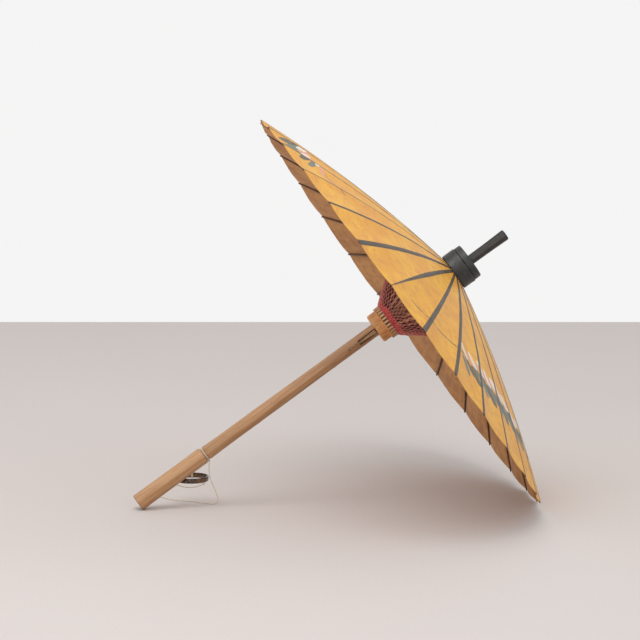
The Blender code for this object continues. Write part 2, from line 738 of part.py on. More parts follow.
def build():
    clear_scene()
    parts = new_collection("oil_paper_umbrella")
    cutters = new_collection("cutters")
    bamboo = new_material("bamboo", (0.50, 0.29, 0.12), 0.5)
    pale_bamboo = new_material("pale_bamboo", (0.55, 0.36, 0.18), 0.55)
    dark_bamboo = new_material("dark_bamboo", (0.10, 0.05, 0.025), 0.5)
    turned_wood = new_material("turned_wood", (0.55, 0.30, 0.12), 0.5)
    black_lacquer = new_material("black_lacquer", (0.03, 0.03, 0.028), 0.4)
    oiled_paper = new_material("oiled_paper", (0.80, 0.44, 0.09), 0.45)
    red_thread = new_material("red_thread", (0.33, 0.03, 0.03), 0.8)
    pale_string = new_material("pale_string", (0.66, 0.55, 0.42), 0.8)
    horn = new_material("horn", (0.06, 0.03, 0.015), 0.3)

    shaft_frame, floor_frame = make_frames(parts)
    make_handle(parts, shaft_frame, bamboo)
    make_shaft(parts, cutters, shaft_frame, bamboo)
    make_catch(parts, cutters, shaft_frame, pale_bamboo, turned_wood)
    make_runner(parts, cutters, shaft_frame, turned_wood, red_thread)
    make_crown(parts, cutters, shaft_frame, turned_wood, red_thread, black_lacquer)
    make_finial(parts, shaft_frame, black_lacquer)
    make_ribs(parts, cutters, shaft_frame, dark_bamboo)
    make_stretchers(parts, shaft_frame, dark_bamboo)
    make_canopy(parts, shaft_frame, oiled_paper)
    make_net(parts, shaft_frame, red_thread)
    make_tie(parts, shaft_frame, pale_string)
    make_ring(parts, floor_frame, horn, pale_string)
    make_string("string_long", LONG_STRING_ROUTE, parts, floor_frame, pale_string)
    make_string("string_short", SHORT_STRING_ROUTE, parts, floor_frame, pale_string)


build()
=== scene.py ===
"""Oil paper umbrella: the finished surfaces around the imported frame.

Most pieces are modelled in the shaft's own frame: its origin is the centre of the
handle's end, +Z runs up the shaft to the peg, and +X is the side that faces the floor.
Units are metres. Ribs are numbered from 1 round the shaft, starting at +X.
"""
import json
import math
import random

import bmesh
import bpy
from mathutils import Matrix, Vector, noise


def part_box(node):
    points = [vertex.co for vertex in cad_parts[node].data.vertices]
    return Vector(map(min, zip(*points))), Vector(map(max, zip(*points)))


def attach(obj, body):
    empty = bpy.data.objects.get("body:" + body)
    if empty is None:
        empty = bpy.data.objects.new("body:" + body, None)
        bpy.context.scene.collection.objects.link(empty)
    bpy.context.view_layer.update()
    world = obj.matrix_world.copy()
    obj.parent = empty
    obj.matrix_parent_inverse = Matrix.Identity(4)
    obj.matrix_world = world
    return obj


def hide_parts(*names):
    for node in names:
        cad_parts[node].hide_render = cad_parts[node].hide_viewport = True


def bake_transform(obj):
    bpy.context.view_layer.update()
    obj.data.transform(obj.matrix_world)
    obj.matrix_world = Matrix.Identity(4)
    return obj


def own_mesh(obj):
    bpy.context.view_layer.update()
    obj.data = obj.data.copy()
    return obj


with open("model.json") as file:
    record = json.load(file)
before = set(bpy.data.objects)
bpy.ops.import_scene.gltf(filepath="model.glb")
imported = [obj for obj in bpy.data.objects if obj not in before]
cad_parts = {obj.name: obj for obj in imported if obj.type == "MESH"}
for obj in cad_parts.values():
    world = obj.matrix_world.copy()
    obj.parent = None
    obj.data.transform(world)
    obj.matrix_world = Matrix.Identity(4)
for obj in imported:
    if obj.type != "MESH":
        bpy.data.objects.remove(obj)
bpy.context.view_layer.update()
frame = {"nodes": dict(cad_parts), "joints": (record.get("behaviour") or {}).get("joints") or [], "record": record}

# the shaft's frame, from the record
MOUNTS = {mount["name"]: mount for mount in frame["record"]["mounts"]}
JOINTS = {joint["name"]: joint for joint in frame["joints"]}
HANDLE_END = Vector(MOUNTS["handle_end"]["pos_m"])
UP = -Vector(MOUNTS["handle_end"]["axis"])
ACROSS = Vector((0, 1, 0))
DOWN = ACROSS.cross(UP)
SHAFT = Matrix.Translation(HANDLE_END) @ Matrix((DOWN, ACROSS, UP)).transposed().to_4x4()
TO_SHAFT = SHAFT.inverted()

# materials measure in millimetres
MM = 1000

# ribs and stretchers, as in the frame
RIB_COUNT = 28
STEP = 2 * math.pi / RIB_COUNT
HALF_STEP = STEP / 2
ROOF_SLOPE = math.radians(16.3)
RIB_LENGTH = 0.2955
RIB_BOW = 0.0065
RIB_WIDTH = 0.0034
RIB_HALF_HEIGHT = 0.0023
RIB_TIP_HALF_HEIGHT = 0.0013
RIB_TAPER_START = 0.117
RIB_SLOT = (0.046, 0.117)
RIB_SLOT_WIDTH = 0.0020
TENON_WIDTH = 0.0014
TENON_LENGTH = 0.0115
TENON_HALF_HEIGHT = 0.0021
JOINT_DISTANCE = 0.068
STRETCHER_WIDTH = 0.0013
STRETCHER_HALF_HEIGHT = 0.0020

# a finished rib is thinner than its node towards the rim, and ends with the paper
RIB_END = 0.2946
RIB_TIP_WIDTH = 0.0017
RIB_PARING = 0.50
RIB_SWAY = 0.00035

CROWN_PIVOT = TO_SHAFT @ Vector(JOINTS["rib_01_hinge"]["pos_m"])
CROWN_RADIUS = CROWN_PIVOT.xy.length
CROWN_HEIGHT = CROWN_PIVOT.z
RUNNER_PIVOT = TO_SHAFT @ Vector(JOINTS["stretcher_01_hinge"]["pos_m"])
RUNNER_RADIUS = RUNNER_PIVOT.xy.length
RUNNER_HEIGHT = RUNNER_PIVOT.z

# paper
PAPER_START = 0.0050
PAPER_END = 0.2940
PAPER_GAP = 0.00035
PAPER_THICKNESS = 0.0003
PAPER_SAG = 0.0024
RIM_DIP = 0.0011
PANEL_ROWS = 72
PANEL_COLUMNS = 16
STRIP_ROWS = 40
STRIP_START_GAP = 0.012
STRIP_GAPS = 0.013

# net
NET_START = 0.0065
NET_END = 0.082
NET_DROP = 0.0030
NET_ROWS = 16
NET_COLUMNS = 6
NET_THREAD = 0.0010
BAND_START = NET_START - 0.0022
BAND_REACH = 0.0085
BAND_RAGGED = 0.0035
BAND_ROWS = 44
BAND_COLUMNS = 24

# strings, routed from the point of the floor below the handle's end
STRING_RADIUS = 0.0005
STRING_STEP = 0.0006
STRING_LAY = 0.0045
WINDING_RADIUS = 0.00045
HINGE_CORD_RADIUS = 0.0004
LONG_STRING_ROUTE = (
    (0.0912, -0.0004, 0.0606), (0.0908, 0.0016, 0.0545), (0.0912, 0.0062, 0.0470),
    (0.0921, 0.0116, 0.0408), (0.0935, 0.0154, 0.0354), (0.0958, 0.0166, 0.0290),
    (0.0988, 0.0165, 0.0220), (0.1016, 0.0162, 0.0148), (0.1034, 0.0161, 0.0086),
    (0.1036, 0.0162, 0.0044), (0.1014, 0.0165, 0.0015), (0.0973, 0.0176, 0.00065),
    (0.0915, 0.0208, 0.0006), (0.0847, 0.0260, 0.0006), (0.0780, 0.0316, 0.0006),
    (0.0724, 0.0366, 0.0006), (0.0650, 0.0402, 0.0006), (0.0570, 0.0435, 0.0006),
    (0.0500, 0.0495, 0.0006), (0.0440, 0.0575, 0.0006), (0.0390, 0.0660, 0.0006),
    (0.0344, 0.0740, 0.0006), (0.0296, 0.0806, 0.0006), (0.0240, 0.0850, 0.0006),
    (0.0180, 0.0872, 0.0006),
)
SHORT_STRING_ROUTE = (
    (0.0912, 0.0015, 0.0603), (0.0890, 0.0056, 0.0574), (0.0856, 0.0125, 0.0536),
    (0.0816, 0.0215, 0.0491), (0.0782, 0.0305, 0.0447), (0.0757, 0.0385, 0.0415),
    (0.0746, 0.0426, 0.0402), (0.0736, 0.0457, 0.0380), (0.0712, 0.0467, 0.0342),
    (0.0660, 0.0453, 0.0312), (0.0590, 0.0423, 0.0302), (0.0528, 0.0369, 0.0299),
    (0.0492, 0.0297, 0.0296), (0.0489, 0.0236, 0.0285), (0.0518, 0.0189, 0.0265),
    (0.0575, 0.0167, 0.0246), (0.0645, 0.0158, 0.0233), (0.0720, 0.0148, 0.0234),
    (0.0790, 0.0122, 0.0254), (0.0846, 0.0094, 0.0283),
)
FLOOR_FRAME = Matrix.Translation((HANDLE_END.x, 0, 0))
WORLD = Matrix.Identity(4)

# camera and stage
VIEW_AZIMUTH = math.radians(-8.394)
VIEW_ELEVATION = math.radians(9.726)
VIEW_DISTANCE = 6.0
VIEW_TARGET = Vector((-0.0176, 0.0037, 0.2361))
LENS = 267.65
SENSOR_WIDTH = 36
FLOOR_SIZE = 16.0
FLOOR_EDGE = 1.36
WALL_GLOW = 0.915
CEILING_GLOW = 0.70
GLOW_FALL = (0.10, 0.45)

# paint on the paper, in metres of half width at the rim, half way and at the crown
STRIPES = {
    17: (0.0012, 0.0013, 0.0010), 18: (0.0022, 0.0022, 0.0014), 19: (0.0044, 0.0036, 0.0022),
    20: (0.0005, 0.0033, 0.0023), 21: (0.0038, 0.0027, 0.0018), 22: (0.0033, 0.0032, 0.0019),
    23: (0.0028, 0.0027, 0.0018), 24: (0.0027, 0.0027, 0.0019), 25: (0.0026, 0.0026, 0.0018),
}
STRIPE_RANGE = (0.0010, 0.0030)

# colours, linear
LEAF = (0.050, 0.088, 0.090)
GREY_GREEN = (0.125, 0.185, 0.155)
STEM = (0.13, 0.12, 0.08)
WHITE = (0.86, 0.80, 0.72)
PINK = (0.80, 0.36, 0.26)
ROSE = (0.62, 0.20, 0.15)

# A brush stroke is a colour, a half width in millimetres and two ends, each a distance
# from the crown's pivots in millimetres and a place among the ribs.


def stem(start, end, bend, parts=5):
    """A thin curved stem of free design."""
    ends = []
    for index in range(parts + 1):
        share = index / parts
        distance = start[0] + (end[0] - start[0]) * share + bend * math.sin(math.pi * share)
        ends.append((distance, start[1] + (end[1] - start[1]) * share))
    return [(STEM, 1.2, before, after) for before, after in zip(ends, ends[1:])]


def garland(first, last, blossoms, rise, count):
    """A row of blossoms of free design between two ribs, with leaves on the rim's side."""
    strokes = []
    for index in range(count):
        share = index / (count - 1)
        place = first + (last - first) * share
        middle = blossoms - rise * math.sin(math.pi * share)
        tones = (LEAF, GREY_GREEN) if index % 2 else (GREY_GREEN, LEAF)
        full = 0.8 + 0.4 * math.sin(math.pi * share)
        strokes += [
            (tones[0], 6.0 * full, (middle + 20, place), (middle + 43, place + 0.32)),
            (tones[1], 5.0 * full, (middle + 13, place + 0.1), (middle + 33, place + 0.5)),
            (WHITE, 4.6 * full, (middle + 14, place + 0.2), (middle - 3, place - 0.15)),
            (PINK, 4.0 * full, (middle + 4, place + 0.15), (middle + 12, place + 0.6)),
        ]
    return strokes


def spray(distance, place, size, side):
    """A flowering twig of free design: one long stem, paired leaves and two flowers."""
    strokes = []
    for index in range(6):
        start = (distance - 14 * index * size, place + 0.42 * side * index)
        end = (distance - 14 * (index + 1) * size, place + 0.42 * side * (index + 1))
        strokes.append((STEM, 0.8, start, end))
        tip = (start[0] + 17 * size, start[1] + 0.35 * side)
        strokes.append((LEAF if index % 2 else GREY_GREEN, 2.3 * size, start, tip))
    for index, colour in ((3, WHITE), (5, PINK)):
        middle = (distance - 14 * index * size, place + 0.42 * side * index)
        for petal in range(5):
            turn = 2 * math.pi * petal / 5 + index
            tip = (middle[0] + 11 * size * math.cos(turn),
                   middle[1] + 0.30 * size * math.sin(turn))
            strokes.append((colour, 3.0 * size, middle, tip))
        strokes.append((ROSE, 1.6 * size, middle, (middle[0] + 2, middle[1])))
    return strokes


STROKES = stem((262, 20.4), (214, 22.4), 4) + garland(22.2, 26.4, 205, 16, 11)
STROKES += stem((222, 17.2), (236, 16.2), 3, 3) + garland(14.7, 15.9, 228, -14, 4)
STROKES += spray(262, 3.4, 1.0, 1)
STROKES += spray(246, 12.6, 0.9, -1)


def rib_angle(number):
    return (number - 0.5) * STEP


def bow(distance):
    share = distance / RIB_LENGTH
    return 4 * RIB_BOW * share * (1 - share)


def rib_turn(number):
    return Matrix.Rotation(rib_angle(number), 4, "Z")


def taper(distance):
    """How far along the tapering part of a rib: 0 at its start, 1 at the rib's end."""
    return max(0.0, (distance - RIB_TAPER_START) / (RIB_LENGTH - RIB_TAPER_START))


def rib_half_height(distance):
    return RIB_HALF_HEIGHT + (RIB_TIP_HALF_HEIGHT - RIB_HALF_HEIGHT) * taper(distance)


def rib_point(distance, rise):
    """Radius and height on a rib, at a distance from its pivot and a rise above its middle."""
    lifted = bow(distance) + rise
    return (CROWN_RADIUS + distance * math.cos(ROOF_SLOPE) + lifted * math.sin(ROOF_SLOPE),
            CROWN_HEIGHT + lifted * math.cos(ROOF_SLOPE) - distance * math.sin(ROOF_SLOPE))


JOINT_RADIUS, JOINT_HEIGHT = rib_point(JOINT_DISTANCE, -0.0003)
STRETCHER_LENGTH = math.hypot(JOINT_RADIUS - RUNNER_RADIUS, JOINT_HEIGHT - RUNNER_HEIGHT)
STRETCHER_RISE = math.atan2(JOINT_HEIGHT - RUNNER_HEIGHT, JOINT_RADIUS - RUNNER_RADIUS)


def stretcher_point(distance, drop):
    """Radius and height at a distance up a stretcher and a drop below its middle."""
    return (RUNNER_RADIUS + distance * math.cos(STRETCHER_RISE) + drop * math.sin(STRETCHER_RISE),
            RUNNER_HEIGHT + distance * math.sin(STRETCHER_RISE) - drop * math.cos(STRETCHER_RISE))


def spun(radius, height, angle):
    return Vector((radius * math.cos(angle), radius * math.sin(angle), height))


def span(node):
    """The lowest and highest corners of a CAD node in the shaft's frame."""
    points = [TO_SHAFT @ vertex.co for vertex in frame["nodes"][node].data.vertices]
    low = Vector([min(point[axis] for point in points) for axis in range(3)])
    high = Vector([max(point[axis] for point in points) for axis in range(3)])
    return low, high


def wander(point, scale, seed=0.0):
    """Smooth noise from about -1 to 1 whose bumps are about as wide as scale."""
    return noise.noise(Vector(point) / scale + Vector((seed, 7.3 * seed, 3.1)))


def linked(name, data):
    """A new object in the scene."""
    obj = bpy.data.objects.new(name, data)
    bpy.context.scene.collection.objects.link(obj)
    return obj


# ---------------------------------------------------------------- camera and stage


def make_camera():
    back = Vector((
        math.sin(VIEW_AZIMUTH) * math.cos(VIEW_ELEVATION),
        -math.cos(VIEW_AZIMUTH) * math.cos(VIEW_ELEVATION),
        math.sin(VIEW_ELEVATION),
    ))
    data = bpy.data.cameras.new("camera")
    data.lens = LENS
    data.sensor_width = SENSOR_WIDTH
    camera = linked("camera", data)
    camera.location = VIEW_TARGET + back * VIEW_DISTANCE
    camera.rotation_euler = (-back).to_track_quat("-Z", "Y").to_euler()
    bpy.context.scene.camera = camera


def add_light(name, size, power, colour, location, target):
    data = bpy.data.lights.new(name, "AREA")
    data.shape = "RECTANGLE"
    data.size, data.size_y = size
    data.energy = power
    data.color = colour
    light = linked(name, data)
    light.location = location
    light.rotation_euler = (Vector(target) - Vector(location)).to_track_quat("-Z", "Y").to_euler()


def make_stage():
    scene = bpy.context.scene
    scene.view_settings.view_transform = "Standard"
    world = bpy.data.worlds.new("studio")
    scene.world = world
    world.use_nodes = True
    nodes, links = world.node_tree.nodes, world.node_tree.links
    background = nodes["Background"]
    background.inputs["Color"].default_value = (1.0, 0.995, 0.995, 1)
    parts = nodes.new("ShaderNodeSeparateXYZ")
    links.new(nodes.new("ShaderNodeTexCoord").outputs["Generated"], parts.inputs[0])
    fall = nodes.new("ShaderNodeMapRange")
    for socket, value in (("From Min", GLOW_FALL[0]), ("From Max", GLOW_FALL[1]),
                          ("To Min", WALL_GLOW), ("To Max", CEILING_GLOW)):
        fall.inputs[socket].default_value = value
    links.new(parts.outputs["Z"], fall.inputs["Value"])
    links.new(fall.outputs[0], background.inputs["Strength"])

    floor_paint = Recipe("floor_paint", roughness=0.75)
    on_floor = floor_paint.place(scale=1.0, on_shaft=False)
    mottle = floor_paint.noise(2.2, detail=4, where=on_floor)
    speck = floor_paint.noise(260.0, detail=3, where=on_floor)
    base = floor_paint.mix(mottle, (0.640, 0.590, 0.570), (0.670, 0.620, 0.598))
    specks = floor_paint.fit(speck, 0.3, 0.7, 0, 0.25)
    floor_paint.colour(floor_paint.mix(specks, base, (0.58, 0.53, 0.51)))
    floor = plane("floor", FLOOR_SIZE, FLOOR_SIZE, floor_paint.material)
    away = Vector((-math.sin(VIEW_AZIMUTH), math.cos(VIEW_AZIMUTH), 0))
    floor.location = away * (FLOOR_EDGE - FLOOR_SIZE / 2)
    floor.rotation_euler = (0, 0, VIEW_AZIMUTH)

    add_light("overhead", size=(1.5, 1.5), power=25, colour=(1.0, 0.99, 0.97),
              location=(-0.62, -0.75, 2.25), target=(0.05, 0.0, 0.1))
    add_light("front", size=(2.4, 1.6), power=9, colour=(1.0, 1.0, 1.0),
              location=(-1.0, -2.6, 1.5), target=(0, 0, 0.2))


def plane(name, width, depth, material):
    mesh = bpy.data.meshes.new(name)
    bm = bmesh.new()
    bmesh.ops.create_grid(bm, x_segments=1, y_segments=1, size=0.5)
    bmesh.ops.scale(bm, vec=(width, depth, 1), verts=bm.verts)
    bm.to_mesh(mesh)
    bm.free()
    mesh.materials.append(material)
    return linked(name, mesh)


# ---------------------------------------------------------------- materials


class Recipe:
    """A material, with short ways to add nodes to it."""

    def __init__(self, name, roughness=0.5, **sockets):
        self.material = bpy.data.materials.new(name)
        self.material.use_nodes = True
        self.tree = self.material.node_tree
        self.shader = self.tree.nodes["Principled BSDF"]
        self.shader.inputs["Roughness"].default_value = roughness
        for socket, value in sockets.items():
            self.shader.inputs[socket.replace("_", " ")].default_value = value

    def add(self, kind, inputs, **settings):
        node = self.tree.nodes.new("ShaderNode" + kind)
        for key, value in settings.items():
            setattr(node, key, value)
        for key, value in inputs.items():
            if isinstance(value, bpy.types.NodeSocket):
                self.tree.links.new(value, node.inputs[key])
            else:
                node.inputs[key].default_value = value
        return node

    def place(self, stretch=(1, 1, 1), scale=MM, on_shaft=True):
        """Object coordinates times scale, turned into the shaft's frame if on_shaft is set."""
        point = self.add("TexCoord", {}).outputs["Object"]
        if on_shaft:
            turn = {"Vector": point, "Location": HANDLE_END, "Rotation": SHAFT.to_euler()}
            point = self.add("Mapping", turn, vector_type="TEXTURE").outputs[0]
        sizes = [scale * share for share in stretch]
        return self.add("Mapping", {"Vector": point, "Scale": sizes}).outputs[0]

    def attribute(self, name):
        return self.add("Attribute", {}, attribute_name=name)

    def noise(self, scale, detail=3.0, where=None, distortion=0.0):
        inputs = {"Scale": scale, "Detail": detail, "Distortion": distortion}
        if where is not None:
            inputs["Vector"] = where
        return self.add("TexNoise", inputs).outputs["Fac"]

    def math(self, operation, first, second=0.0, clamp=False):
        inputs = {0: first, 1: second}
        return self.add("Math", inputs, operation=operation, use_clamp=clamp).outputs[0]

    def vector(self, operation, inputs, output=0):
        return self.add("VectorMath", inputs, operation=operation).outputs[output]

    def fit(self, value, low, high, to_low=0.0, to_high=1.0):
        """Maps low..high smoothly to to_low..to_high."""
        inputs = {"Value": value, "From Min": low, "From Max": high}
        inputs.update({"To Min": to_low, "To Max": to_high})
        return self.add("MapRange", inputs, interpolation_type="SMOOTHSTEP").outputs["Result"]

    def mix(self, factor, first, second, blend="MIX"):
        node = self.add("Mix", {}, data_type="RGBA", blend_type=blend)
        for index, value in ((0, factor), (6, first), (7, second)):
            if isinstance(value, bpy.types.NodeSocket):
                self.tree.links.new(value, node.inputs[index])
            elif index == 0:
                node.inputs[index].default_value = value
            else:
                node.inputs[index].default_value = (*value, 1)
        return node.outputs[2]

    def colour(self, value):
        self.tree.links.new(value, self.shader.inputs["Base Color"])

    def gloss(self, value):
        self.tree.links.new(value, self.shader.inputs["Roughness"])

    def bump(self, height, strength, distance):
        inputs = {"Height": height, "Strength": strength, "Distance": distance}
        node = self.add("Bump", inputs)
        before = self.shader.inputs["Normal"].links
        if before:
            self.tree.links.new(before[0].from_socket, node.inputs["Normal"])
        self.tree.links.new(node.outputs[0], self.shader.inputs["Normal"])


def bamboo_recipe(name, pale, deep, streak):
    """Bamboo whose fibres run along the shaft."""
    recipe = Recipe(name, roughness=0.42)
    fine = recipe.noise(1.0, 4.0, recipe.place((2.2, 2.2, 0.035)))
    broad = recipe.noise(1.0, 3.0, recipe.place((0.32, 0.32, 0.012)))
    patch = recipe.noise(1.0, 3.0, recipe.place((0.09, 0.09, 0.03)), 0.6)
    base = recipe.mix(recipe.fit(broad, 0.36, 0.66), pale, deep)
    base = recipe.mix(recipe.fit(patch, 0.52, 0.72, 0, 0.55), base, streak)
    base = recipe.mix(recipe.fit(fine, 0.52, 0.74, 0, 0.55), base, [0.55 * part for part in deep])
    dots = recipe.noise(1.0, 2.0, recipe.place((0.5, 0.5, 0.16)))
    base = recipe.mix(recipe.fit(dots, 0.66, 0.76, 0, 0.6), base, (0.10, 0.05, 0.02))
    recipe.colour(base)
    recipe.gloss(recipe.fit(fine, 0.3, 0.8, 0.34, 0.55))
    recipe.bump(fine, 0.25, 0.0003)
    return recipe


def end_grain(recipe, height, depth, ring):
    """Darkens a bamboo recipe towards its cut end, with a rim."""
    parts = recipe.add("SeparateXYZ", {"Vector": recipe.place()})
    near = recipe.fit(parts.outputs["Z"], height * MM, (height + depth) * MM, 1, 0)
    before = recipe.shader.inputs["Base Color"].links[0].from_socket
    recipe.colour(recipe.mix(recipe.math("MULTIPLY", near, 0.75), before, ring))


def rib_recipe(name, shade):
    """Split bamboo, smoked brown; shade scales its tones. A shade below 1 gives a darker copy, which is painted
    shade.
    """
    recipe = Recipe(name, roughness=0.5)
    tones = [[shade * part for part in tone]
             for tone in ((0.165, 0.080, 0.040), (0.090, 0.042, 0.022), (0.24, 0.125, 0.062))]
    point = recipe.place()
    flat = recipe.vector("MULTIPLY", {0: point, 1: (1, 1, 0)})
    radius = recipe.vector("LENGTH", {0: flat}, "Value")
    along = recipe.add("CombineXYZ", {"X": recipe.math("MULTIPLY", radius, 0.05)}).outputs[0]
    lines = recipe.vector("ADD", {0: point, 1: along})
    fibre = recipe.noise(0.8, 4.0, lines)
    cloud = recipe.noise(0.07, 3.0, point)
    base = recipe.mix(recipe.fit(fibre, 0.35, 0.7), tones[0], tones[1])
    recipe.colour(recipe.mix(recipe.fit(cloud, 0.5, 0.7, 0, 0.6), base, tones[2]))
    recipe.bump(fibre, 0.3, 0.0003)
    return recipe


def pale_bamboo_recipe():
    return bamboo_recipe("pale_bamboo", (0.48, 0.31, 0.17), (0.36, 0.21, 0.10),
                         (0.52, 0.36, 0.22))


def wood_recipe(name, light, dark):
    """Turned wood with growth rings cut across the shaft."""
    recipe = Recipe(name, roughness=0.45)
    point = recipe.place((1, 1, 0.25))
    rings = recipe.noise(0.20, 3.0, point, 1.2)
    fine = recipe.noise(1.0, 4.0, recipe.place((1.4, 1.4, 0.2)))
    base = recipe.mix(recipe.fit(rings, 0.35, 0.68), light, dark)
    grain = [0.6 * part for part in dark]
    recipe.colour(recipe.mix(recipe.fit(fine, 0.5, 0.8, 0, 0.5), base, grain))
    recipe.bump(fine, 0.2, 0.0003)
    return recipe


def lacquer_recipe(name, tone, patch, wear, roughness=0.42):
    recipe = Recipe(name, roughness=roughness, Coat_Weight=0.12, Coat_Roughness=0.3)
    point = recipe.place()
    cloud = recipe.noise(0.10, 4.0, point, 0.5)
    fine = recipe.noise(1.3, 5.0, point)
    lumps = recipe.noise(0.45, 3.0, point)
    # The lighter patch tone, laid in soft clouds, is painted sheen on the lacquer.
    base = recipe.mix(recipe.fit(cloud, 0.42, 0.68), tone, patch)
    base = recipe.mix(recipe.fit(fine, 0.56, 0.74, 0, 0.4), base, wear)
    recipe.colour(base)
    recipe.gloss(recipe.fit(cloud, 0.3, 0.7, roughness - 0.08, roughness + 0.12))
    recipe.bump(fine, 0.25, 0.0004)
    recipe.bump(lumps, 0.3, 0.0008)
    return recipe


def tortoise_recipe():
    recipe = Recipe("mottled_lacquer", roughness=0.28, Coat_Weight=0.3)
    point = recipe.place()
    spots = recipe.noise(0.22, 4.0, point, 1.0)
    fine = recipe.noise(0.9, 3.0, point)
    base = recipe.mix(recipe.fit(spots, 0.40, 0.60), (0.020, 0.011, 0.007), (0.15, 0.075, 0.032))
    recipe.colour(recipe.mix(recipe.fit(fine, 0.62, 0.72, 0, 0.6), base, (0.34, 0.22, 0.11)))
    recipe.bump(spots, 0.15, 0.0005)
    return recipe


def thread_recipe(name, tone, shade, roughness=0.8):
    recipe = Recipe(name, roughness=roughness, Sheen_Weight=0.25)
    point = recipe.place()
    cloud = recipe.noise(0.20, 3.0, point)
    fibre = recipe.noise(4.0, 4.0, point)
    base = recipe.mix(recipe.fit(cloud, 0.35, 0.7), tone, shade)
    hollow = [0.5 * part for part in shade]
    recipe.colour(recipe.mix(recipe.fit(fibre, 0.45, 0.75, 0, 0.5), base, hollow))
    recipe.bump(fibre, 0.5, 0.0002)
    return recipe


def stroke_group():
    """A node group: how much of a tapering brush stroke covers a point, in millimetres."""
    tree = bpy.data.node_groups.new("brush_stroke", "ShaderNodeTree")
    for name, kind in (("Point", "Vector"), ("Start", "Vector"), ("Reach", "Vector"),
                       ("Width", "Float")):
        tree.interface.new_socket(name, in_out="INPUT", socket_type="NodeSocket" + kind)
    tree.interface.new_socket("Cover", in_out="OUTPUT", socket_type="NodeSocketFloat")
    given = tree.nodes.new("NodeGroupInput")
    result = tree.nodes.new("NodeGroupOutput")

    def step(kind, operation, *inputs, clamp=False):
        node = tree.nodes.new("ShaderNode" + kind)
        node.operation = operation
        if clamp:
            node.use_clamp = True
        for index, value in enumerate(inputs):
            slot_index = 3 if operation == "SCALE" and index == 1 else index
            if isinstance(value, bpy.types.NodeSocket):
                tree.links.new(value, node.inputs[slot_index])
            else:
                node.inputs[slot_index].default_value = value
        return node.outputs["Value" if operation in ("DOT_PRODUCT", "LENGTH") else 0]

    reach = given.outputs["Reach"]
    offset = step("VectorMath", "SUBTRACT", given.outputs["Point"], given.outputs["Start"])
    square = step("VectorMath", "DOT_PRODUCT", reach, reach)
    run = step("VectorMath", "DOT_PRODUCT", offset, reach)
    share = step("Math", "DIVIDE", run, square, clamp=True)
    foot = step("VectorMath", "SCALE", reach, share)
    away = step("VectorMath", "LENGTH", step("VectorMath", "SUBTRACT", offset, foot))
    rest = step("Math", "SUBTRACT", 1.0, share)
    hump = step("Math", "MULTIPLY", step("Math", "MULTIPLY", share, rest), 4.0)
    swell = step("Math", "MULTIPLY_ADD", step("Math", "POWER", hump, 0.4), 0.75, 0.3)
    width = step("Math", "MULTIPLY", given.outputs["Width"], swell)
    inside = step("Math", "SUBTRACT", width, away)
    cover = step("Math", "MULTIPLY_ADD", inside, 2.2, 0.5, clamp=True)
    tree.links.new(cover, result.inputs["Cover"])
    return tree


BRUSH = stroke_group()


def flat_point(distance, angle):
    """A point of the paper laid flat, in millimetres."""
    return Vector((distance * math.cos(angle), distance * math.sin(angle), 0))


def strokes_near(number):
    """The strokes that touch the paper of one rib."""
    margin = 0.4
    for colour, width, start, end in STROKES:
        low, high = sorted((start[1], end[1]))
        if low - margin < number + 0.5 and high + margin > number - 0.5:
            ends = [flat_point(distance, rib_angle(place)) for distance, place in (start, end)]
            yield colour, width, *ends


def paper_ground(recipe, flat, colours, vein):
    """Mottled, creased, fibrous paper: colours are its three tones."""
    cloud = recipe.noise(0.021, 4.0, flat, 0.8)
    blot = recipe.noise(0.09, 5.0, flat, 0.6)
    fibre = recipe.noise(0.9, 5.0, flat, 1.5)
    base = recipe.mix(recipe.fit(cloud, 0.34, 0.66), colours[0], colours[1])
    base = recipe.mix(recipe.fit(blot, 0.46, 0.68, 0, 0.7), base, colours[2])
    base = recipe.mix(recipe.fit(fibre, 0.5, 0.8, 0, 0.45), base, vein)
    cells = recipe.add("TexVoronoi", {"Vector": flat, "Scale": 0.030}, feature="DISTANCE_TO_EDGE")
    crease = recipe.fit(cells.outputs["Distance"], 0.0, 0.035, 1, 0)
    gate = recipe.fit(recipe.noise(0.017, 2.0, flat), 0.52, 0.62)
    crease = recipe.math("MULTIPLY", crease, gate)
    base = recipe.mix(recipe.math("MULTIPLY", crease, 0.22), base, vein)
    recipe.bump(fibre, 0.26, 0.0005)
    recipe.bump(crease, 0.5, 0.0007)
    return base, fibre


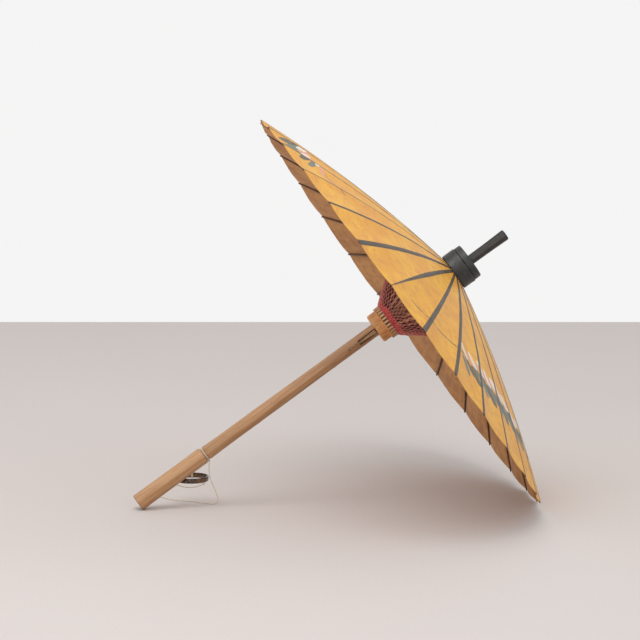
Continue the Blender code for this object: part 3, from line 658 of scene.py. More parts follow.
def outer_paper_recipe(number):
    recipe = Recipe("oiled_paper_%02d" % number, roughness=0.5, Coat_Weight=0.03,
                    Coat_Roughness=0.4, Specular_IOR_Level=0.28)
    flat = recipe.attribute("flat").outputs["Vector"]
    lane = recipe.add("SeparateXYZ", {"Vector": recipe.attribute("lane").outputs["Vector"]})
    across, along, half_width = (lane.outputs[axis] for axis in ("X", "Y", "Z"))
    tones = ((0.88, 0.475, 0.052), (0.80, 0.375, 0.046), (0.72, 0.300, 0.070))
    base, fibre = paper_ground(recipe, flat, tones, (0.50, 0.22, 0.04))
    side = recipe.math("ABSOLUTE", across)
    rib_shade = recipe.fit(side, 1.2, 2.6, 0.22, 0)
    base = recipe.mix(rib_shade, base, (0.55, 0.24, 0.05))
    edge = recipe.fit(along, (PAPER_END - 0.0035) * MM, PAPER_END * MM, 0, 0.45)
    base = recipe.mix(edge, base, (0.42, 0.19, 0.05))

    shift = recipe.add("TexNoise", {"Vector": flat, "Scale": 0.35, "Detail": 3.0})
    pull = recipe.vector("SUBTRACT", {0: shift.outputs["Color"], 1: (0.5, 0.5, 0.5)})
    push = recipe.vector("SCALE", {0: pull, "Scale": 3.2})
    brushed = recipe.vector("ADD", {0: flat, 1: push})
    flattened = recipe.vector("MULTIPLY", {0: brushed, 1: (1, 1, 0)})
    dry = recipe.fit(recipe.noise(0.5, 5.0, flat), 0.22, 0.46, 0.55, 1)
    for colour, width, start, end in strokes_near(number):
        node = recipe.add("Group", {}, node_tree=BRUSH)
        recipe.tree.links.new(flattened, node.inputs["Point"])
        node.inputs["Start"].default_value = start
        node.inputs["Reach"].default_value = end - start
        node.inputs["Width"].default_value = width
        cover = recipe.math("MULTIPLY", node.outputs["Cover"], dry)
        base = recipe.mix(recipe.math("MULTIPLY", cover, 0.88), base, colour)

    wobble = recipe.math("SUBTRACT", recipe.noise(0.16, 3.0, flat), 0.5)
    wobble = recipe.math("MULTIPLY", wobble, 1.1)
    distance = recipe.math("ADD", side, wobble)
    inside = recipe.math("SUBTRACT", half_width, distance)
    mask = recipe.fit(inside, -0.25, 0.12)
    streak = recipe.noise(1.0, 3.0, recipe.add("CombineXYZ", {
        "X": recipe.math("MULTIPLY", across, 0.9), "Y": recipe.math("MULTIPLY", along, 0.03),
        "Z": number * 3.7}).outputs[0])
    ink = recipe.mix(recipe.fit(streak, 0.36, 0.70), (0.048, 0.042, 0.038), (0.105, 0.094, 0.085))
    worn = recipe.fit(recipe.noise(0.8, 4.0, flat), 0.26, 0.40, 0.65, 0.97)
    recipe.colour(recipe.mix(recipe.math("MULTIPLY", mask, worn), base, ink))
    recipe.gloss(recipe.fit(fibre, 0.3, 0.8, 0.40, 0.56))
    return recipe.material


def inner_paper_recipe():
    recipe = Recipe("oiled_paper_inside", roughness=0.6)
    flat = recipe.attribute("flat").outputs["Vector"]
    lane = recipe.add("SeparateXYZ", {"Vector": recipe.attribute("lane").outputs["Vector"]})
    # The inner tones are kept light: painted light that stands in for light shining through the thin paper.
    tones = ((0.60, 0.275, 0.080), (0.46, 0.195, 0.055), (0.36, 0.155, 0.055))
    base = paper_ground(recipe, flat, tones, (0.22, 0.10, 0.035))[0]
    # Darker beside each rib: the glue along the rib, together with painted shade of the rib.
    side = recipe.math("ABSOLUTE", lane.outputs["X"])
    base = recipe.mix(recipe.fit(side, 1.6, 5.0, 0.35, 0), base, (0.26, 0.12, 0.04))
    bands = recipe.noise(1.0, 3.0, recipe.add("CombineXYZ", {
        "X": recipe.math("MULTIPLY", lane.outputs["X"], 0.12),
        "Y": recipe.math("MULTIPLY", lane.outputs["Y"], 0.012)}).outputs[0])
    recipe.colour(recipe.mix(recipe.fit(bands, 0.45, 0.7, 0, 0.35), base, (0.62, 0.34, 0.13)))
    return recipe.material


# ---------------------------------------------------------------- mesh helpers


def new_piece(name, mesh, body, materials, place=SHAFT):
    for material in materials:
        mesh.materials.append(material)
    mesh.transform(place)
    piece = linked(name, mesh)
    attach(piece, body)
    return piece


def smooth(mesh, degrees=35):
    mesh.shade_smooth()
    mesh.set_sharp_from_angle(angle=math.radians(degrees))
    return mesh


def mesh_from(name, points, faces, degrees=35):
    mesh = bpy.data.meshes.new(name)
    mesh.from_pydata([tuple(point) for point in points], [], faces)
    mesh.validate()
    return smooth(mesh, degrees)


def lathe(name, profile, steps, ripple=None, closed=False):
    """A turned mesh. The profile runs down its outer side, and up any bore."""
    bm = bmesh.new()
    rings = []
    for radius, height in profile:
        if radius == 0:
            rings.append([bm.verts.new((0, 0, height))])
            continue
        ring = []
        for index in range(steps):
            angle = 2 * math.pi * index / steps
            extra = ripple(angle, radius, height) if ripple else 0.0
            ring.append(bm.verts.new(spun(radius + extra, height, angle)))
        rings.append(ring)
    pairs = list(zip(rings, rings[1:]))
    if closed:
        pairs.append((rings[-1], rings[0]))
    for upper, lower in pairs:
        for index in range(steps):
            following = (index + 1) % steps
            corners = (upper[index % len(upper)], lower[index % len(lower)],
                       lower[following % len(lower)], upper[following % len(upper)])
            bm.faces.new(list(dict.fromkeys(corners)))
    mesh = bpy.data.meshes.new(name)
    bm.to_mesh(mesh)
    bm.free()
    return smooth(mesh)


def filled(profile, spacing):
    """The profile with points added so that none are further apart than spacing."""
    points = [profile[0]]
    for start, end in zip(profile, profile[1:]):
        count = max(1, math.ceil(math.dist(start, end) / spacing))
        for index in range(1, count + 1):
            share = index / count
            points.append((start[0] + (end[0] - start[0]) * share,
                           start[1] + (end[1] - start[1]) * share))
    return points


def soften(piece, width, segments=2):
    bevel = piece.modifiers.new("soft_edges", "BEVEL")
    bevel.width = width
    bevel.segments = segments
    bevel.limit_method = "ANGLE"
    bevel.angle_limit = math.radians(38)
    bevel.harden_normals = True


def box_cut(piece, boxes, place=SHAFT):
    """Adds a modifier that cuts boxes, given as matrices on a unit cube, out of a piece."""
    mesh = bpy.data.meshes.new("carving")
    bm = bmesh.new()
    for matrix in boxes:
        bmesh.ops.create_cube(bm, size=1.0, matrix=matrix)
    bm.to_mesh(mesh)
    bm.free()
    mesh.transform(place)
    cut = piece.modifiers.new("carving", "BOOLEAN")
    cut.operation = "DIFFERENCE"
    cut.object = linked("carving", mesh)
    return cut


def finished(piece):
    """The piece's mesh with its modifiers worked in."""
    bpy.context.view_layer.update()
    graph = bpy.context.evaluated_depsgraph_get()
    return smooth(bpy.data.meshes.new_from_object(piece.evaluated_get(graph)))


def carve(piece, boxes):
    """Cuts boxes out of a piece for good."""
    cut = box_cut(piece, boxes)
    tool = cut.object
    carved = finished(piece)
    piece.modifiers.remove(cut)
    piece.data = carved
    bpy.data.objects.remove(tool)


def bar_faces(rows):
    """The sides and the two ends of a bar with four corners to a section."""
    faces = []
    for row in range(rows):
        for side in range(4):
            beside = (side + 1) % 4
            faces.append((4 * row + side, 4 * row + 4 + side,
                          4 * row + 4 + beside, 4 * row + beside))
    last = 4 * rows
    return faces + [(0, 1, 2, 3), (last + 3, last + 2, last + 1, last)]


def sheet_faces(rows, columns):
    """The front, the back and the sides of a sheet whose points come in two layers."""
    width = columns + 1
    layer = width * (rows + 1)
    front, back = [], []
    for row in range(rows):
        for column in range(columns):
            corner = row * width + column
            around = (corner, corner + width, corner + width + 1, corner + 1)
            front.append(around)
            back.append(tuple(index + layer for index in reversed(around)))
    border = list(range(columns))
    border += [row * width + columns for row in range(rows)]
    border += [rows * width + column for column in range(columns, 0, -1)]
    border += [row * width for row in range(rows, 0, -1)]
    sides = [(index, following, following + layer, index + layer)
             for index, following in zip(border, border[1:] + border[:1])]
    return front, back, sides


def smooth_route(route, spacing):
    """Points on a smooth curve through the route, about spacing apart."""
    points = [Vector(point) for point in route]
    ends = [2 * points[0] - points[1]] + points + [2 * points[-1] - points[-2]]
    fine = []
    for before, start, end, after in zip(ends, ends[1:], ends[2:], ends[3:]):
        count = max(1, round((end - start).length / spacing))
        for step in range(count):
            t = step / count
            fine.append(0.5 * (2 * start + (end - before) * t
                               + (2 * before - 5 * start + 4 * end - after) * t * t
                               + (3 * start - before - 3 * end + after) * t ** 3))
    fine.append(points[-1])
    return fine


def tube(name, path, radius, sides=10, lay=0.0, closed=False):
    """A mesh tube. With a lay, it is two-ply twine that turns once in that length."""
    count = len(path)
    points = []
    across = None
    travelled = 0.0
    for index, point in enumerate(path):
        before = path[index - 1] if index or closed else path[0]
        after = path[(index + 1) % count] if index < count - 1 or closed else path[-1]
        forward = (after - before).normalized()
        if across is None:
            across = forward.orthogonal().normalized()
        across = (across - forward * across.dot(forward)).normalized()
        other = forward.cross(across)
        if index:
            travelled += (point - path[index - 1]).length
        for side in range(sides):
            angle = 2 * math.pi * side / sides
            reach = radius
            if lay:
                ply = math.cos(2 * (angle - math.pi * travelled / lay))
                reach = radius * (0.86 + 0.14 * ply)
            points.append(point + reach * (math.cos(angle) * across + math.sin(angle) * other))
    faces = []
    for row in range(count if closed else count - 1):
        following = (row + 1) % count
        for side in range(sides):
            beside = (side + 1) % sides
            faces.append((row * sides + side, row * sides + beside,
                          following * sides + beside, following * sides + side))
    if not closed:
        faces.append(tuple(reversed(range(sides))))
        faces.append(tuple(range((count - 1) * sides, count * sides)))
    return mesh_from(name, points, faces, 60)


def coil(radius, height, pitch, turns, steps=40):
    """A winding round the shaft, with a number of points in each turn."""
    return [spun(radius, height + pitch * index / steps, 2 * math.pi * index / steps)
            for index in range(int(turns * steps) + 1)]


def hinge_cord(name, radius, height, body, thread):
    """The cord that threads the ends of the ribs or the stretchers."""
    path = coil(radius, height, 0, 1, 140)[:-1]
    return new_piece(name, tube(name, path, HINGE_CORD_RADIUS, 8, closed=True),
                     body, [thread])


def knot_path(centre, size, steps=60):
    """A closed overhand knot."""
    path = []
    for index in range(steps):
        t = 2 * math.pi * index / steps
        path.append(Vector(centre) + size / 3 * Vector((
            math.sin(t) + 2 * math.sin(2 * t), math.cos(t) - 2 * math.cos(2 * t),
            -math.sin(3 * t))))
    return path


def make_knot(name, centre, size, body, cream):
    mesh = tube(name, knot_path(centre, size), WINDING_RADIUS, 8, closed=True)
    return new_piece(name, mesh, body, [cream], WORLD)


# ---------------------------------------------------------------- strings and ring


def make_strings(cream):
    long_path = [FLOOR_FRAME @ point for point in smooth_route(LONG_STRING_ROUTE, STRING_STEP)]
    long_string = linked(
        "long_string", tube("long_string", long_path, STRING_RADIUS, lay=STRING_LAY))
    long_string.data.materials.append(cream)
    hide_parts("string_long")
    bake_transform(long_string)
    end_centre = long_path[-1] + Vector((0, 0, 0.0008))
    end_knot = make_knot("long_string_knot", end_centre, 0.0013, "umbrella", cream)

    short_path = [FLOOR_FRAME @ point for point in smooth_route(SHORT_STRING_ROUTE, STRING_STEP)]
    short_string = new_piece(
        "short_string", tube("short_string", short_path, STRING_RADIUS, lay=STRING_LAY),
        "hanging_ring", [cream], WORLD)
    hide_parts("string_short")
    tail_knot = make_knot("short_string_knot", short_path[-1], 0.0012, "hanging_ring", cream)


def make_ring(lacquer, cream):
    low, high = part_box("ring")
    centre = (low + high) / 2
    radius = (high.x - low.x) / 2
    half = (high.z - low.z) / 2
    wall = 0.0022
    edge = 0.0007
    profile = [
        (radius - edge, half), (radius - 0.2 * edge, half - 0.2 * edge), (radius, half - edge),
        (radius, edge - half), (radius - 0.2 * edge, 0.2 * edge - half), (radius - edge, -half),
        (radius - wall + edge, -half), (radius - wall + 0.2 * edge, 0.2 * edge - half),
        (radius - wall, edge - half), (radius - wall, half - edge),
        (radius - wall + 0.2 * edge, half - 0.2 * edge), (radius - wall + edge, half),
    ]

    def hand_bent(angle, section_radius, height):
        return 0.00035 * math.sin(2 * angle + 0.7) + 0.00015 * math.sin(5 * angle) - 0.0006

    place = Matrix.Translation(centre)
    ring = new_piece("bamboo_ring", lathe("bamboo_ring", profile, 120, hand_bent, closed=True),
                     "hanging_ring", [lacquer], place)
    soften(ring, 0.0003)
    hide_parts("ring")

    low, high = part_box("ring_binding")
    middle = (low + high) / 2
    outward = (middle - centre).normalized()
    along = Vector((0, 0, 1)).cross(outward)
    path = []
    turns, steps, width = 4, 48, 0.0026
    for index in range(turns * steps + 1):
        angle = 2 * math.pi * index / steps
        corner = (abs(math.cos(angle)) ** 4 + abs(math.sin(angle)) ** 4) ** -0.25
        path.append(middle + along * (width * (index / (turns * steps) - 0.5))
                    + outward * (0.00185 * corner * math.cos(angle))
                    + Vector((0, 0, 0.0039 * corner * math.sin(angle))))
    binding = new_piece("ring_whipping", tube("ring_whipping", path, 0.00036, 8),
                        "hanging_ring", [cream], WORLD)
    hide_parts("ring_binding")


def make_tie(cream):
    low, high = span("string_tie")
    middle = (low.z + high.z) / 2
    inner = coil(0.00865, middle - 0.0012, 0.00095, 2.6)
    outer = coil(0.00930, middle - 0.0005, 0.0009, 1.6)
    for name, path in (("tie_inner", inner), ("tie_outer", outer)):
        mesh = tube(name, smooth_route(path, STRING_STEP), WINDING_RADIUS, lay=STRING_LAY)
        piece = new_piece(name, mesh, "umbrella", [cream])
        if name == "tie_outer":
            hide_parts("string_tie")


# ---------------------------------------------------------------- handle and shaft


def make_handle():
    high = span("handle_grip")[1]
    radius, length = high.y, high.z
    waist = radius - 0.0004
    profile = [
        (0, 0.0060), (0.0083, 0.0060), (0.0083, length), (waist - 0.0008, length),
        (waist + 0.0002, length - 0.0016), (waist + 0.0001, length - 0.006),
        (waist, 0.6 * length), (waist, 0.35 * length), (radius, 0.001), (radius - 0.001, 0), (0, 0),
    ]

    def grown(angle, section_radius, height):
        point = spun(0.02, height * 0.35, angle)
        node_swell = 0.00022 * math.exp(-((height - 0.052) / 0.0022) ** 2)
        return 0.00016 * wander(point, 0.012) + node_swell if section_radius > 0.0095 else 0.0

    recipe = bamboo_recipe("grip_bamboo", (0.52, 0.295, 0.145), (0.40, 0.205, 0.090),
                           (0.47, 0.215, 0.070))
    end_grain(recipe, 0.0, 0.0016, (0.16, 0.085, 0.04))
    grip = new_piece("grip_sleeve", lathe("grip_sleeve", filled(profile, 0.0035), 96, grown),
                     "umbrella", [recipe.material])
    soften(grip, 0.0003)
    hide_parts("handle_grip")


def make_shaft():
    low, high = span("shaft")
    profile = [
        (0, high.z), (0.0082, high.z), (0.0083, 0.285), (0.0089, 0.1265), (0.0092, 0.1077),
        (0.0086, 0.1065), (0.0080, 0.1065), (0.0080, low.z), (0, low.z),
    ]

    def grown(angle, section_radius, height):
        point = spun(0.02, height * 0.3, angle)
        swell = sum(0.00028 * math.exp(-((height - place) / 0.002) ** 2)
                    for place in (0.183, 0.302))
        return 0.00012 * wander(point, 0.012, 2.0) + swell if height < 0.32 else 0.0

    recipe = bamboo_recipe("shaft_bamboo", (0.48, 0.265, 0.125), (0.35, 0.180, 0.080),
                           (0.42, 0.190, 0.065))
    pole = new_piece("shaft_pole", lathe("shaft_pole", filled(profile, 0.0045), 80, grown),
                     "umbrella", [recipe.material])
    for start, end, width in ((0.344, 0.386, 0.0072), (0.328, 0.3443, 0.0020)):
        carve(pole, [slot_box(start, end, width)])
    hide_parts("shaft")


def slot_box(start, end, width):
    """A box that cuts the catch's slot from the side that faces the camera."""
    floor_depth, outside = 0.0020, 0.0166
    size = Matrix.Diagonal((width, outside - floor_depth, end - start, 1))
    return Matrix.Translation((0, -(floor_depth + outside) / 2, (start + end) / 2)) @ size


def make_runner(thread):
    low, high = span("runner")
    bottom, top, ring_radius = low.z, high.z, high.y
    shoulder = 0.3828
    barrel = 0.0194
    profile = [
        (ring_radius - 0.0005, top), (ring_radius, top - 0.0006), (ring_radius, shoulder + 0.0022),
        (ring_radius - 0.0005, shoulder + 0.0016), (ring_radius, shoulder + 0.0010),
        (ring_radius - 0.0004, shoulder + 0.0003), (ring_radius - 0.0006, shoulder),
        (barrel, shoulder - 0.0002), (barrel + 0.0002, (bottom + shoulder) / 2),
        (barrel, bottom + 0.0018), (barrel - 0.0005, bottom + 0.0006), (barrel - 0.0016, bottom),
        (0.0090, bottom), (0.0090, top),
    ]
    recipe = wood_recipe("runner_wood", (0.70, 0.35, 0.125), (0.54, 0.235, 0.075))
    point = recipe.add("SeparateXYZ", {"Vector": recipe.place()}).outputs["Z"]
    before = recipe.shader.inputs["Base Color"].links[0].from_socket
    pale_top = recipe.fit(point, (shoulder + 0.0018) * MM, (shoulder + 0.0026) * MM)
    recipe.colour(recipe.mix(recipe.math("MULTIPLY", pale_top, 0.65), before, (0.66, 0.47, 0.29)))
    runner = new_piece("runner_barrel", lathe("runner_barrel", profile, 112, closed=True),
                       "runner_body", [recipe.material])
    middle = Matrix.Translation((0.0197, 0, top + 0.002 - 0.00525))
    size = Matrix.Diagonal((0.0134, 0.0020, 0.0105, 1))
    carve(runner, [rib_turn(number) @ middle @ size for number in range(1, RIB_COUNT + 1)])
    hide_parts("runner")

    ring = hinge_cord("runner_cord", RUNNER_RADIUS, RUNNER_HEIGHT, "runner_body", thread)
    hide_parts("runner_thread")


def make_crown(thread):
    low, high = span("crown_cover")
    cover_bottom, cover_top, radius = low.z, high.z, high.y
    hole = 0.0072
    cover_profile = [
        (hole, cover_top), (radius - 0.0012, cover_top), (radius - 0.0003, cover_top - 0.0004),
        (radius, cover_top - 0.0012), (radius, cover_bottom + 0.0004),
        (radius - 0.0004, cover_bottom), (radius - 0.0017, cover_bottom),
        (radius - 0.0017, cover_top - 0.0025), (hole, cover_top - 0.0025),
    ]

    def pasted(angle, section_radius, height):
        if section_radius < radius - 0.002:
            return 0.0
        return -0.00025 * (1 + wander(spun(0.02, height, angle), 0.008, 4.0))

    # The crown's lighter greenish patch tone is painted sheen.
    lacquer = lacquer_recipe("crown_lacquer", (0.018, 0.019, 0.019), (0.036, 0.038, 0.035),
                             (0.010, 0.010, 0.010))
    cup = lathe("crown_cup", filled(cover_profile, 0.0016), 120, pasted, closed=True)
    cover = new_piece("crown_cup", cup, "umbrella", [lacquer.material])
    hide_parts("crown_cover")

    low, high = span("crown_cap")
    cap_radius = high.y
    cap_profile = [
        (hole, high.z), (cap_radius - 0.0014, high.z), (cap_radius - 0.0004, high.z - 0.0004),
        (cap_radius, high.z - 0.0014), (cap_radius, low.z + 0.0003), (cap_radius - 0.0003, low.z),
        (hole, low.z),
    ]
    disc = lathe("crown_disc", filled(cap_profile, 0.0018), 120, pasted, closed=True)
    cap = new_piece("crown_disc", disc, "umbrella", [lacquer.material])
    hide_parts("crown_cap")

    low, high = span("finial")
    tip, bottom = high.z, low.z
    peg_profile = [
        (0, tip), (0.0062, tip), (0.0074, tip - 0.0014), (0.0071, tip - 0.014),
        (0.0067, tip - 0.034), (0.0066, 0.5235), (0.0066, bottom), (0, bottom),
    ]

    def whittled(angle, section_radius, height):
        return 0.00010 * wander(spun(0.01, height, angle), 0.009, 6.0)

    # The peg's lighter patch tone is painted sheen.
    peg_black = lacquer_recipe("peg_lacquer", (0.014, 0.012, 0.011), (0.032, 0.026, 0.024),
                               (0.085, 0.072, 0.064), 0.36)
    peg = new_piece("peg", lathe("peg", filled(peg_profile, 0.006), 8, whittled),
                    "umbrella", [peg_black.material])
    soften(peg, 0.0004)
    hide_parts("finial")

    ring = hinge_cord("crown_cord", CROWN_RADIUS, CROWN_HEIGHT, "umbrella", thread)
    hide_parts("crown_thread")


# ---------------------------------------------------------------- paper


def stripe_half_width(number, distance):
    if number in STRIPES:
        rim, middle, crown = STRIPES[number]
    else:
        dice = random.Random(number)
        rim, middle, crown = (dice.uniform(*STRIPE_RANGE) for _ in range(3))
    share = distance / PAPER_END
    if share > 0.5:
        return middle + (rim - middle) * (share - 0.5) * 2
    return crown + (middle - crown) * share * 2


def off_rib(place):
    """0 on a rib and 1 at a seam half way to the next."""
    return 1 - (1 - abs(place)) ** 2


def panel_point(distance, place, inset, number):
    """A point of the paper near one rib. place runs from -1 to 1 between the two seams."""
    rise = rib_half_height(max(distance, 0.02)) + PAPER_GAP + PAPER_THICKNESS
    radius, height = rib_point(distance, rise)
    side = abs(place)
    dip = PAPER_SAG * (radius / RIB_LENGTH) * off_rib(place) + inset
    rest = spun(radius, height, rib_angle(number) + place * HALF_STEP)
    crumple = 0.00045 * wander(rest, 0.030, 1.0) + 0.00022 * wander(rest, 0.011, 2.0)
    dip += crumple * min(1.0, 3 * side) * min(1.0, distance / 0.05)
    chord = radius * (1 - (1 - math.cos(STEP)) * side / 2)
    return Vector((chord - dip * math.sin(ROOF_SLOPE), radius * math.sin(STEP) * place / 2,
                   height - dip * math.cos(ROOF_SLOPE)))


def map_paint(mesh, flats, lanes):
    """Stores where each point lies on the flat paper, and in its rib's painted lane."""
    for name, values in (("flat", flats), ("lane", lanes)):
        attribute = mesh.attributes.new(name, "FLOAT_VECTOR", "POINT")
        attribute.data.foreach_set("vector", [part for value in values for part in value])


def make_panel(number, outer, inner):
    """The paper glued to one rib: out to the seams half way to its neighbours."""
    turn = rib_turn(number)
    points, flats, lanes = [], [], []
    for inset in (0.0, PAPER_THICKNESS):
        for row in range(PANEL_ROWS + 1):
            for column in range(PANEL_COLUMNS + 1):
                place = 2 * column / PANEL_COLUMNS - 1
                angle = rib_angle(number) + place * HALF_STEP
                ragged = 0.0005 * wander(spun(0.3, 0, angle), 0.006, 5.0) * min(1, 4 * abs(place))
                end = PAPER_END - RIM_DIP * off_rib(place) + ragged
                distance = PAPER_START + (end - PAPER_START) * row / PANEL_ROWS
                points.append(turn @ panel_point(distance, place, inset, number))
                flats.append(flat_point(MM * distance, angle))
                radius = CROWN_RADIUS + distance * math.cos(ROOF_SLOPE)
                across = MM * radius * math.sin(HALF_STEP) * place
                lanes.append((across, MM * distance, MM * stripe_half_width(number, distance)))
    front, back, sides = sheet_faces(PANEL_ROWS, PANEL_COLUMNS)
    mesh = mesh_from("paper_%02d" % number, points, front + back + sides, 50)
    map_paint(mesh, flats, lanes)
    for polygon in mesh.polygons[len(front):len(front) + len(back)]:
        polygon.material_index = 1
    panel = new_piece("paper_%02d" % number, mesh, "rib_%02d_body" % number,
                      [outer, inner])
    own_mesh(panel)
    if number == 1:
        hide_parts("canopy")


def make_strip(number, material):
    """The paper pasted along one rib's back, which doesn't fold up with the rest."""
    points, flats, lanes = [], [], []
    turn = rib_turn(number)
    run = PAPER_END - PAPER_START - STRIP_GAPS
    for row in range(STRIP_ROWS + 1):
        distance = PAPER_START + STRIP_START_GAP + run * row / STRIP_ROWS
        for lift, side in ((0.00028, -1), (0.00028, 1), (0.00008, 1), (0.00008, -1)):
            radius, height = rib_point(distance, rib_half_height(distance) + lift)
            across = side * 0.48 * RIB_WIDTH
            points.append(turn @ Vector((radius, across, height)))
            angle = rib_angle(number) + across / radius
            flats.append(flat_point(MM * distance, angle))
            lanes.append((MM * across, MM * distance, MM * stripe_half_width(number, distance)))
    mesh = mesh_from("rib_paper_%02d" % number, points, bar_faces(STRIP_ROWS))
    map_paint(mesh, flats, lanes)
    new_piece("rib_paper_%02d" % number, mesh, "rib_%02d_body" % number, [material])


def make_paper():
    inner = inner_paper_recipe()
    for number in range(1, RIB_COUNT + 1):
        outer = outer_paper_recipe(number)
        make_panel(number, outer, inner)
        make_strip(number, outer)


# ---------------------------------------------------------------- stretchers and net


def make_even_stretcher(number, material):
    """A blade of the even ribs. It goes with its odd neighbour, and folds in beside it."""
    neighbour = number - 1
    half = STRETCHER_HALF_HEIGHT
    points = []
    for end, first in ((STRETCHER_LENGTH, -math.pi / 2), (0, math.pi / 2)):
        for index in range(13):
            angle = first + math.pi * index / 12
            radius, height = stretcher_point(end + half * math.cos(angle),
                                             -half * math.sin(angle))
            points.append(spun(radius, height, rib_angle(number)))
    mesh = bpy.data.meshes.new("stretcher_blade_%02d" % number)
    mesh.from_pydata([tuple(point) for point in points], [], [tuple(range(len(points)))])
    blade = new_piece("stretcher_blade_%02d" % number, mesh, "stretcher_%02d_body" % neighbour,
                      [material])
    solid = blade.modifiers.new("thickness", "SOLIDIFY")
    solid.thickness = STRETCHER_WIDTH
    solid.offset = 0
    soften(blade, 0.0002)
    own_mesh(blade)


def make_net(number, thread):
    """The lacing between one odd stretcher and the even ones on its two sides."""
    dice = random.Random(100 + number)
    points = {}
    for row in range(NET_ROWS + 1):
        for column in range(NET_COLUMNS + 1):
            if (row + column) % 2:
                continue
            share = row / NET_ROWS
            distance = NET_START + (NET_END - NET_START) * share
            edge = column in (0, NET_COLUMNS)
            if not edge:
                distance += dice.uniform(-0.0006, 0.0006)
            angle = rib_angle(number) + (column / NET_COLUMNS - 0.5) * 2 * STEP
            if not edge:
                angle += dice.uniform(-0.006, 0.006)
            slack = 0.0012 * share * math.sin(math.pi * (4 * column / NET_COLUMNS % 1))
            radius, height = stretcher_point(distance, NET_DROP + slack)
            points[(row, column)] = spun(radius, height, angle)
    order = list(points)
    lookup = {key: index for index, key in enumerate(order)}
    faces = []
    for row, column in order:
        corners = ((row, column), (row + 1, column + 1), (row + 2, column), (row + 1, column - 1))
        if all(corner in lookup for corner in corners):
            faces.append(tuple(lookup[corner] for corner in corners))
    mesh = bpy.data.meshes.new("net_%02d" % number)
    mesh.from_pydata([tuple(points[key]) for key in order], [], faces)
    used = bmesh.new()
    used.from_mesh(mesh)
    loose = [vertex for vertex in used.verts if not vertex.link_faces]
    bmesh.ops.delete(used, geom=loose, context="VERTS")
    used.to_mesh(mesh)
    used.free()
    net = new_piece("net_%02d" % number, mesh, "stretcher_%02d_body" % number,
                    [thread])
    wire = net.modifiers.new("threads", "WIREFRAME")
    wire.thickness = NET_THREAD
    wire.offset = 0
    wire.use_boundary = True
    wire.use_even_offset = False
    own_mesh(net)
    if number == 1:
        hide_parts("lacing_net")


def make_band(number, dense):
    """The dense lacing where the net starts, with an uneven edge."""
    points = []
    for layer in range(2):
        for row in range(BAND_ROWS + 1):
            for column in range(BAND_COLUMNS + 1):
                angle = rib_angle(number) + (column / BAND_COLUMNS - 0.5) * 2 * STEP
                reach = BAND_REACH + BAND_RAGGED * wander(spun(0.03, 0, angle), 0.006, 8.0)
                distance = BAND_START + reach * row / BAND_ROWS
                ripple = 0.00030 * abs(math.sin(math.pi * row / 4.5 + 0.9 * math.sin(6 * angle)))
                drop = NET_DROP - 0.0002 + (ripple if layer == 0 else -0.0007)
                drop += 0.0002 * wander(spun(0.02, distance, angle), 0.004, number)
                radius, height = stretcher_point(distance, drop)
                points.append(spun(radius, height, angle))
    front, back, sides = sheet_faces(BAND_ROWS, BAND_COLUMNS)
    faces = [tuple(reversed(face)) for face in front + back + sides]
    mesh = mesh_from("lacing_%02d" % number, points, faces, 70)
    band = new_piece("lacing_%02d" % number, mesh, "stretcher_%02d_body" % number,
                     [dense])
    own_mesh(band)


def make_loose_thread(cream):
    """One pale end of thread that has come out of the net."""
    path = []
    for index in range(30):
        share = index / 29
        drop = NET_DROP + 0.0012 + 0.0010 * math.sin(3 * share)
        radius, height = stretcher_point(0.040 + 0.016 * share, drop)
        angle = rib_angle(21.6) + 0.06 * share + 0.03 * math.sin(4 * share)
        path.append(spun(radius, height, angle))
    new_piece("loose_thread", tube("loose_thread", path, 0.00035, 8), "stretcher_21_body",
              [cream])


def make_linkage(dark, thread, dense, cream):
    # dark is the darker copy of the rib bamboo: painted shade on the stretcher blades.
    for number in range(1, RIB_COUNT + 1, 2):
        make_even_stretcher(number + 1, dark)
        make_net(number, thread)
        make_band(number, dense)
    make_loose_thread(cream)


def rib_corner(distance, side, up):
    """A corner of the finished rib, whose underside is pared away towards its tip."""
    share = taper(distance)
    if distance <= TENON_LENGTH:
        half, width = TENON_HALF_HEIGHT, TENON_WIDTH
    else:
        half = rib_half_height(distance)
        width = RIB_WIDTH + (RIB_TIP_WIDTH - RIB_WIDTH) * share
    depth = 2 * half * (1 - RIB_PARING * share)
    if distance < 0:
        along, rise = math.cos(ROOF_SLOPE), math.sin(ROOF_SLOPE)
        return Vector((CROWN_RADIUS + distance * along + up * half * rise, side * width / 2,
                       CROWN_HEIGHT + up * half * along - distance * rise))
    sway = RIB_SWAY * share * math.sin(distance / 0.021)
    radius, height = rib_point(distance, half if up > 0 else half - depth)
    return Vector((radius, side * width / 2 + sway, height))


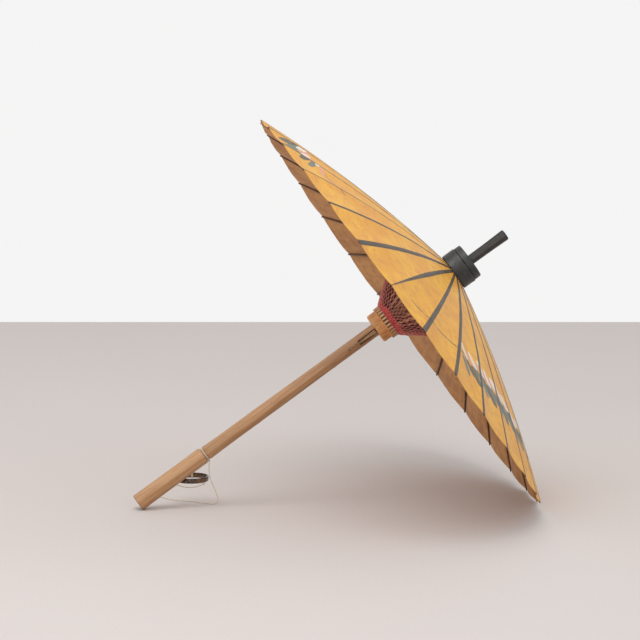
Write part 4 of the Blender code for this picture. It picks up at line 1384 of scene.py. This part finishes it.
def rib_blank():
    """One rib at angle 0: a split bamboo bar with a slot for its stretcher."""
    stations = [-0.0021, 0.0, 0.006, TENON_LENGTH, TENON_LENGTH + 0.004]
    stations += [0.02 + (RIB_END - 0.02) * index / 48 for index in range(49)]
    points = [rib_corner(distance, side, up) for distance in stations
              for side, up in ((-1, 1), (1, 1), (1, -1), (-1, -1))]
    blank = linked("rib_blank", mesh_from("rib_blank", points, bar_faces(len(stations) - 1)))
    start, end = RIB_SLOT
    radius, height = rib_point((start + end) / 2, 0)
    size = Matrix.Diagonal((end - start, RIB_SLOT_WIDTH, 0.02, 1))
    place = Matrix.Translation((radius, 0, height)) @ Matrix.Rotation(ROOF_SLOPE, 4, "Y") @ size
    tool = box_cut(blank, [place], WORLD).object
    soften(blank, 0.00035)
    mesh = finished(blank)
    bpy.data.objects.remove(blank)
    bpy.data.objects.remove(tool)
    return mesh


def make_ribs(dark):
    blank = rib_blank()
    for number in range(1, RIB_COUNT + 1):
        rib = new_piece("split_rib_%02d" % number, blank.copy(), "rib_%02d_body" % number,
                        [dark], SHAFT @ rib_turn(number))
        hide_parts("rib_%02d" % number)


def dress_frame(painted_shade_copy):
    """Materials for the CAD nodes that stay. The stretchers get the darker copy of the rib bamboo, which is
    painted shade.
    """
    pale = pale_bamboo_recipe().material
    hub = wood_recipe("hub_wood", (0.50, 0.30, 0.15), (0.36, 0.19, 0.09)).material
    chosen = {"crown_notch": hub, "catch_pin": hub, "catch_lever": pale}
    for name, node in frame["nodes"].items():
        material = painted_shade_copy if name.startswith("stretcher_") else chosen.get(name)
        if material:
            node.data.materials.clear()
            node.data.materials.append(material)


def build():
    make_camera()
    cream = thread_recipe("cream_string", (0.70, 0.60, 0.46), (0.55, 0.45, 0.32)).material
    make_strings(cream)
    make_stage()
    red = thread_recipe("net_thread", (0.72, 0.24, 0.20), (0.56, 0.14, 0.12), 0.65).material
    dense = thread_recipe("lacing_thread", (0.62, 0.040, 0.045), (0.36, 0.018, 0.020),
                          0.65).material
    dark = rib_recipe("dark_bamboo", 1.0).material
    # A darker copy of the rib bamboo for the stretchers: painted shade under the canopy.
    painted_shade_copy = rib_recipe("painted_shade_bamboo", 0.4).material
    make_ring(tortoise_recipe().material, cream)
    make_tie(cream)
    make_handle()
    make_shaft()
    make_runner(dense)
    make_crown(dense)
    make_ribs(dark)
    make_linkage(painted_shade_copy, red, dense, cream)
    make_paper()
    dress_frame(painted_shade_copy)


build()
bpy.context.view_layer.update()
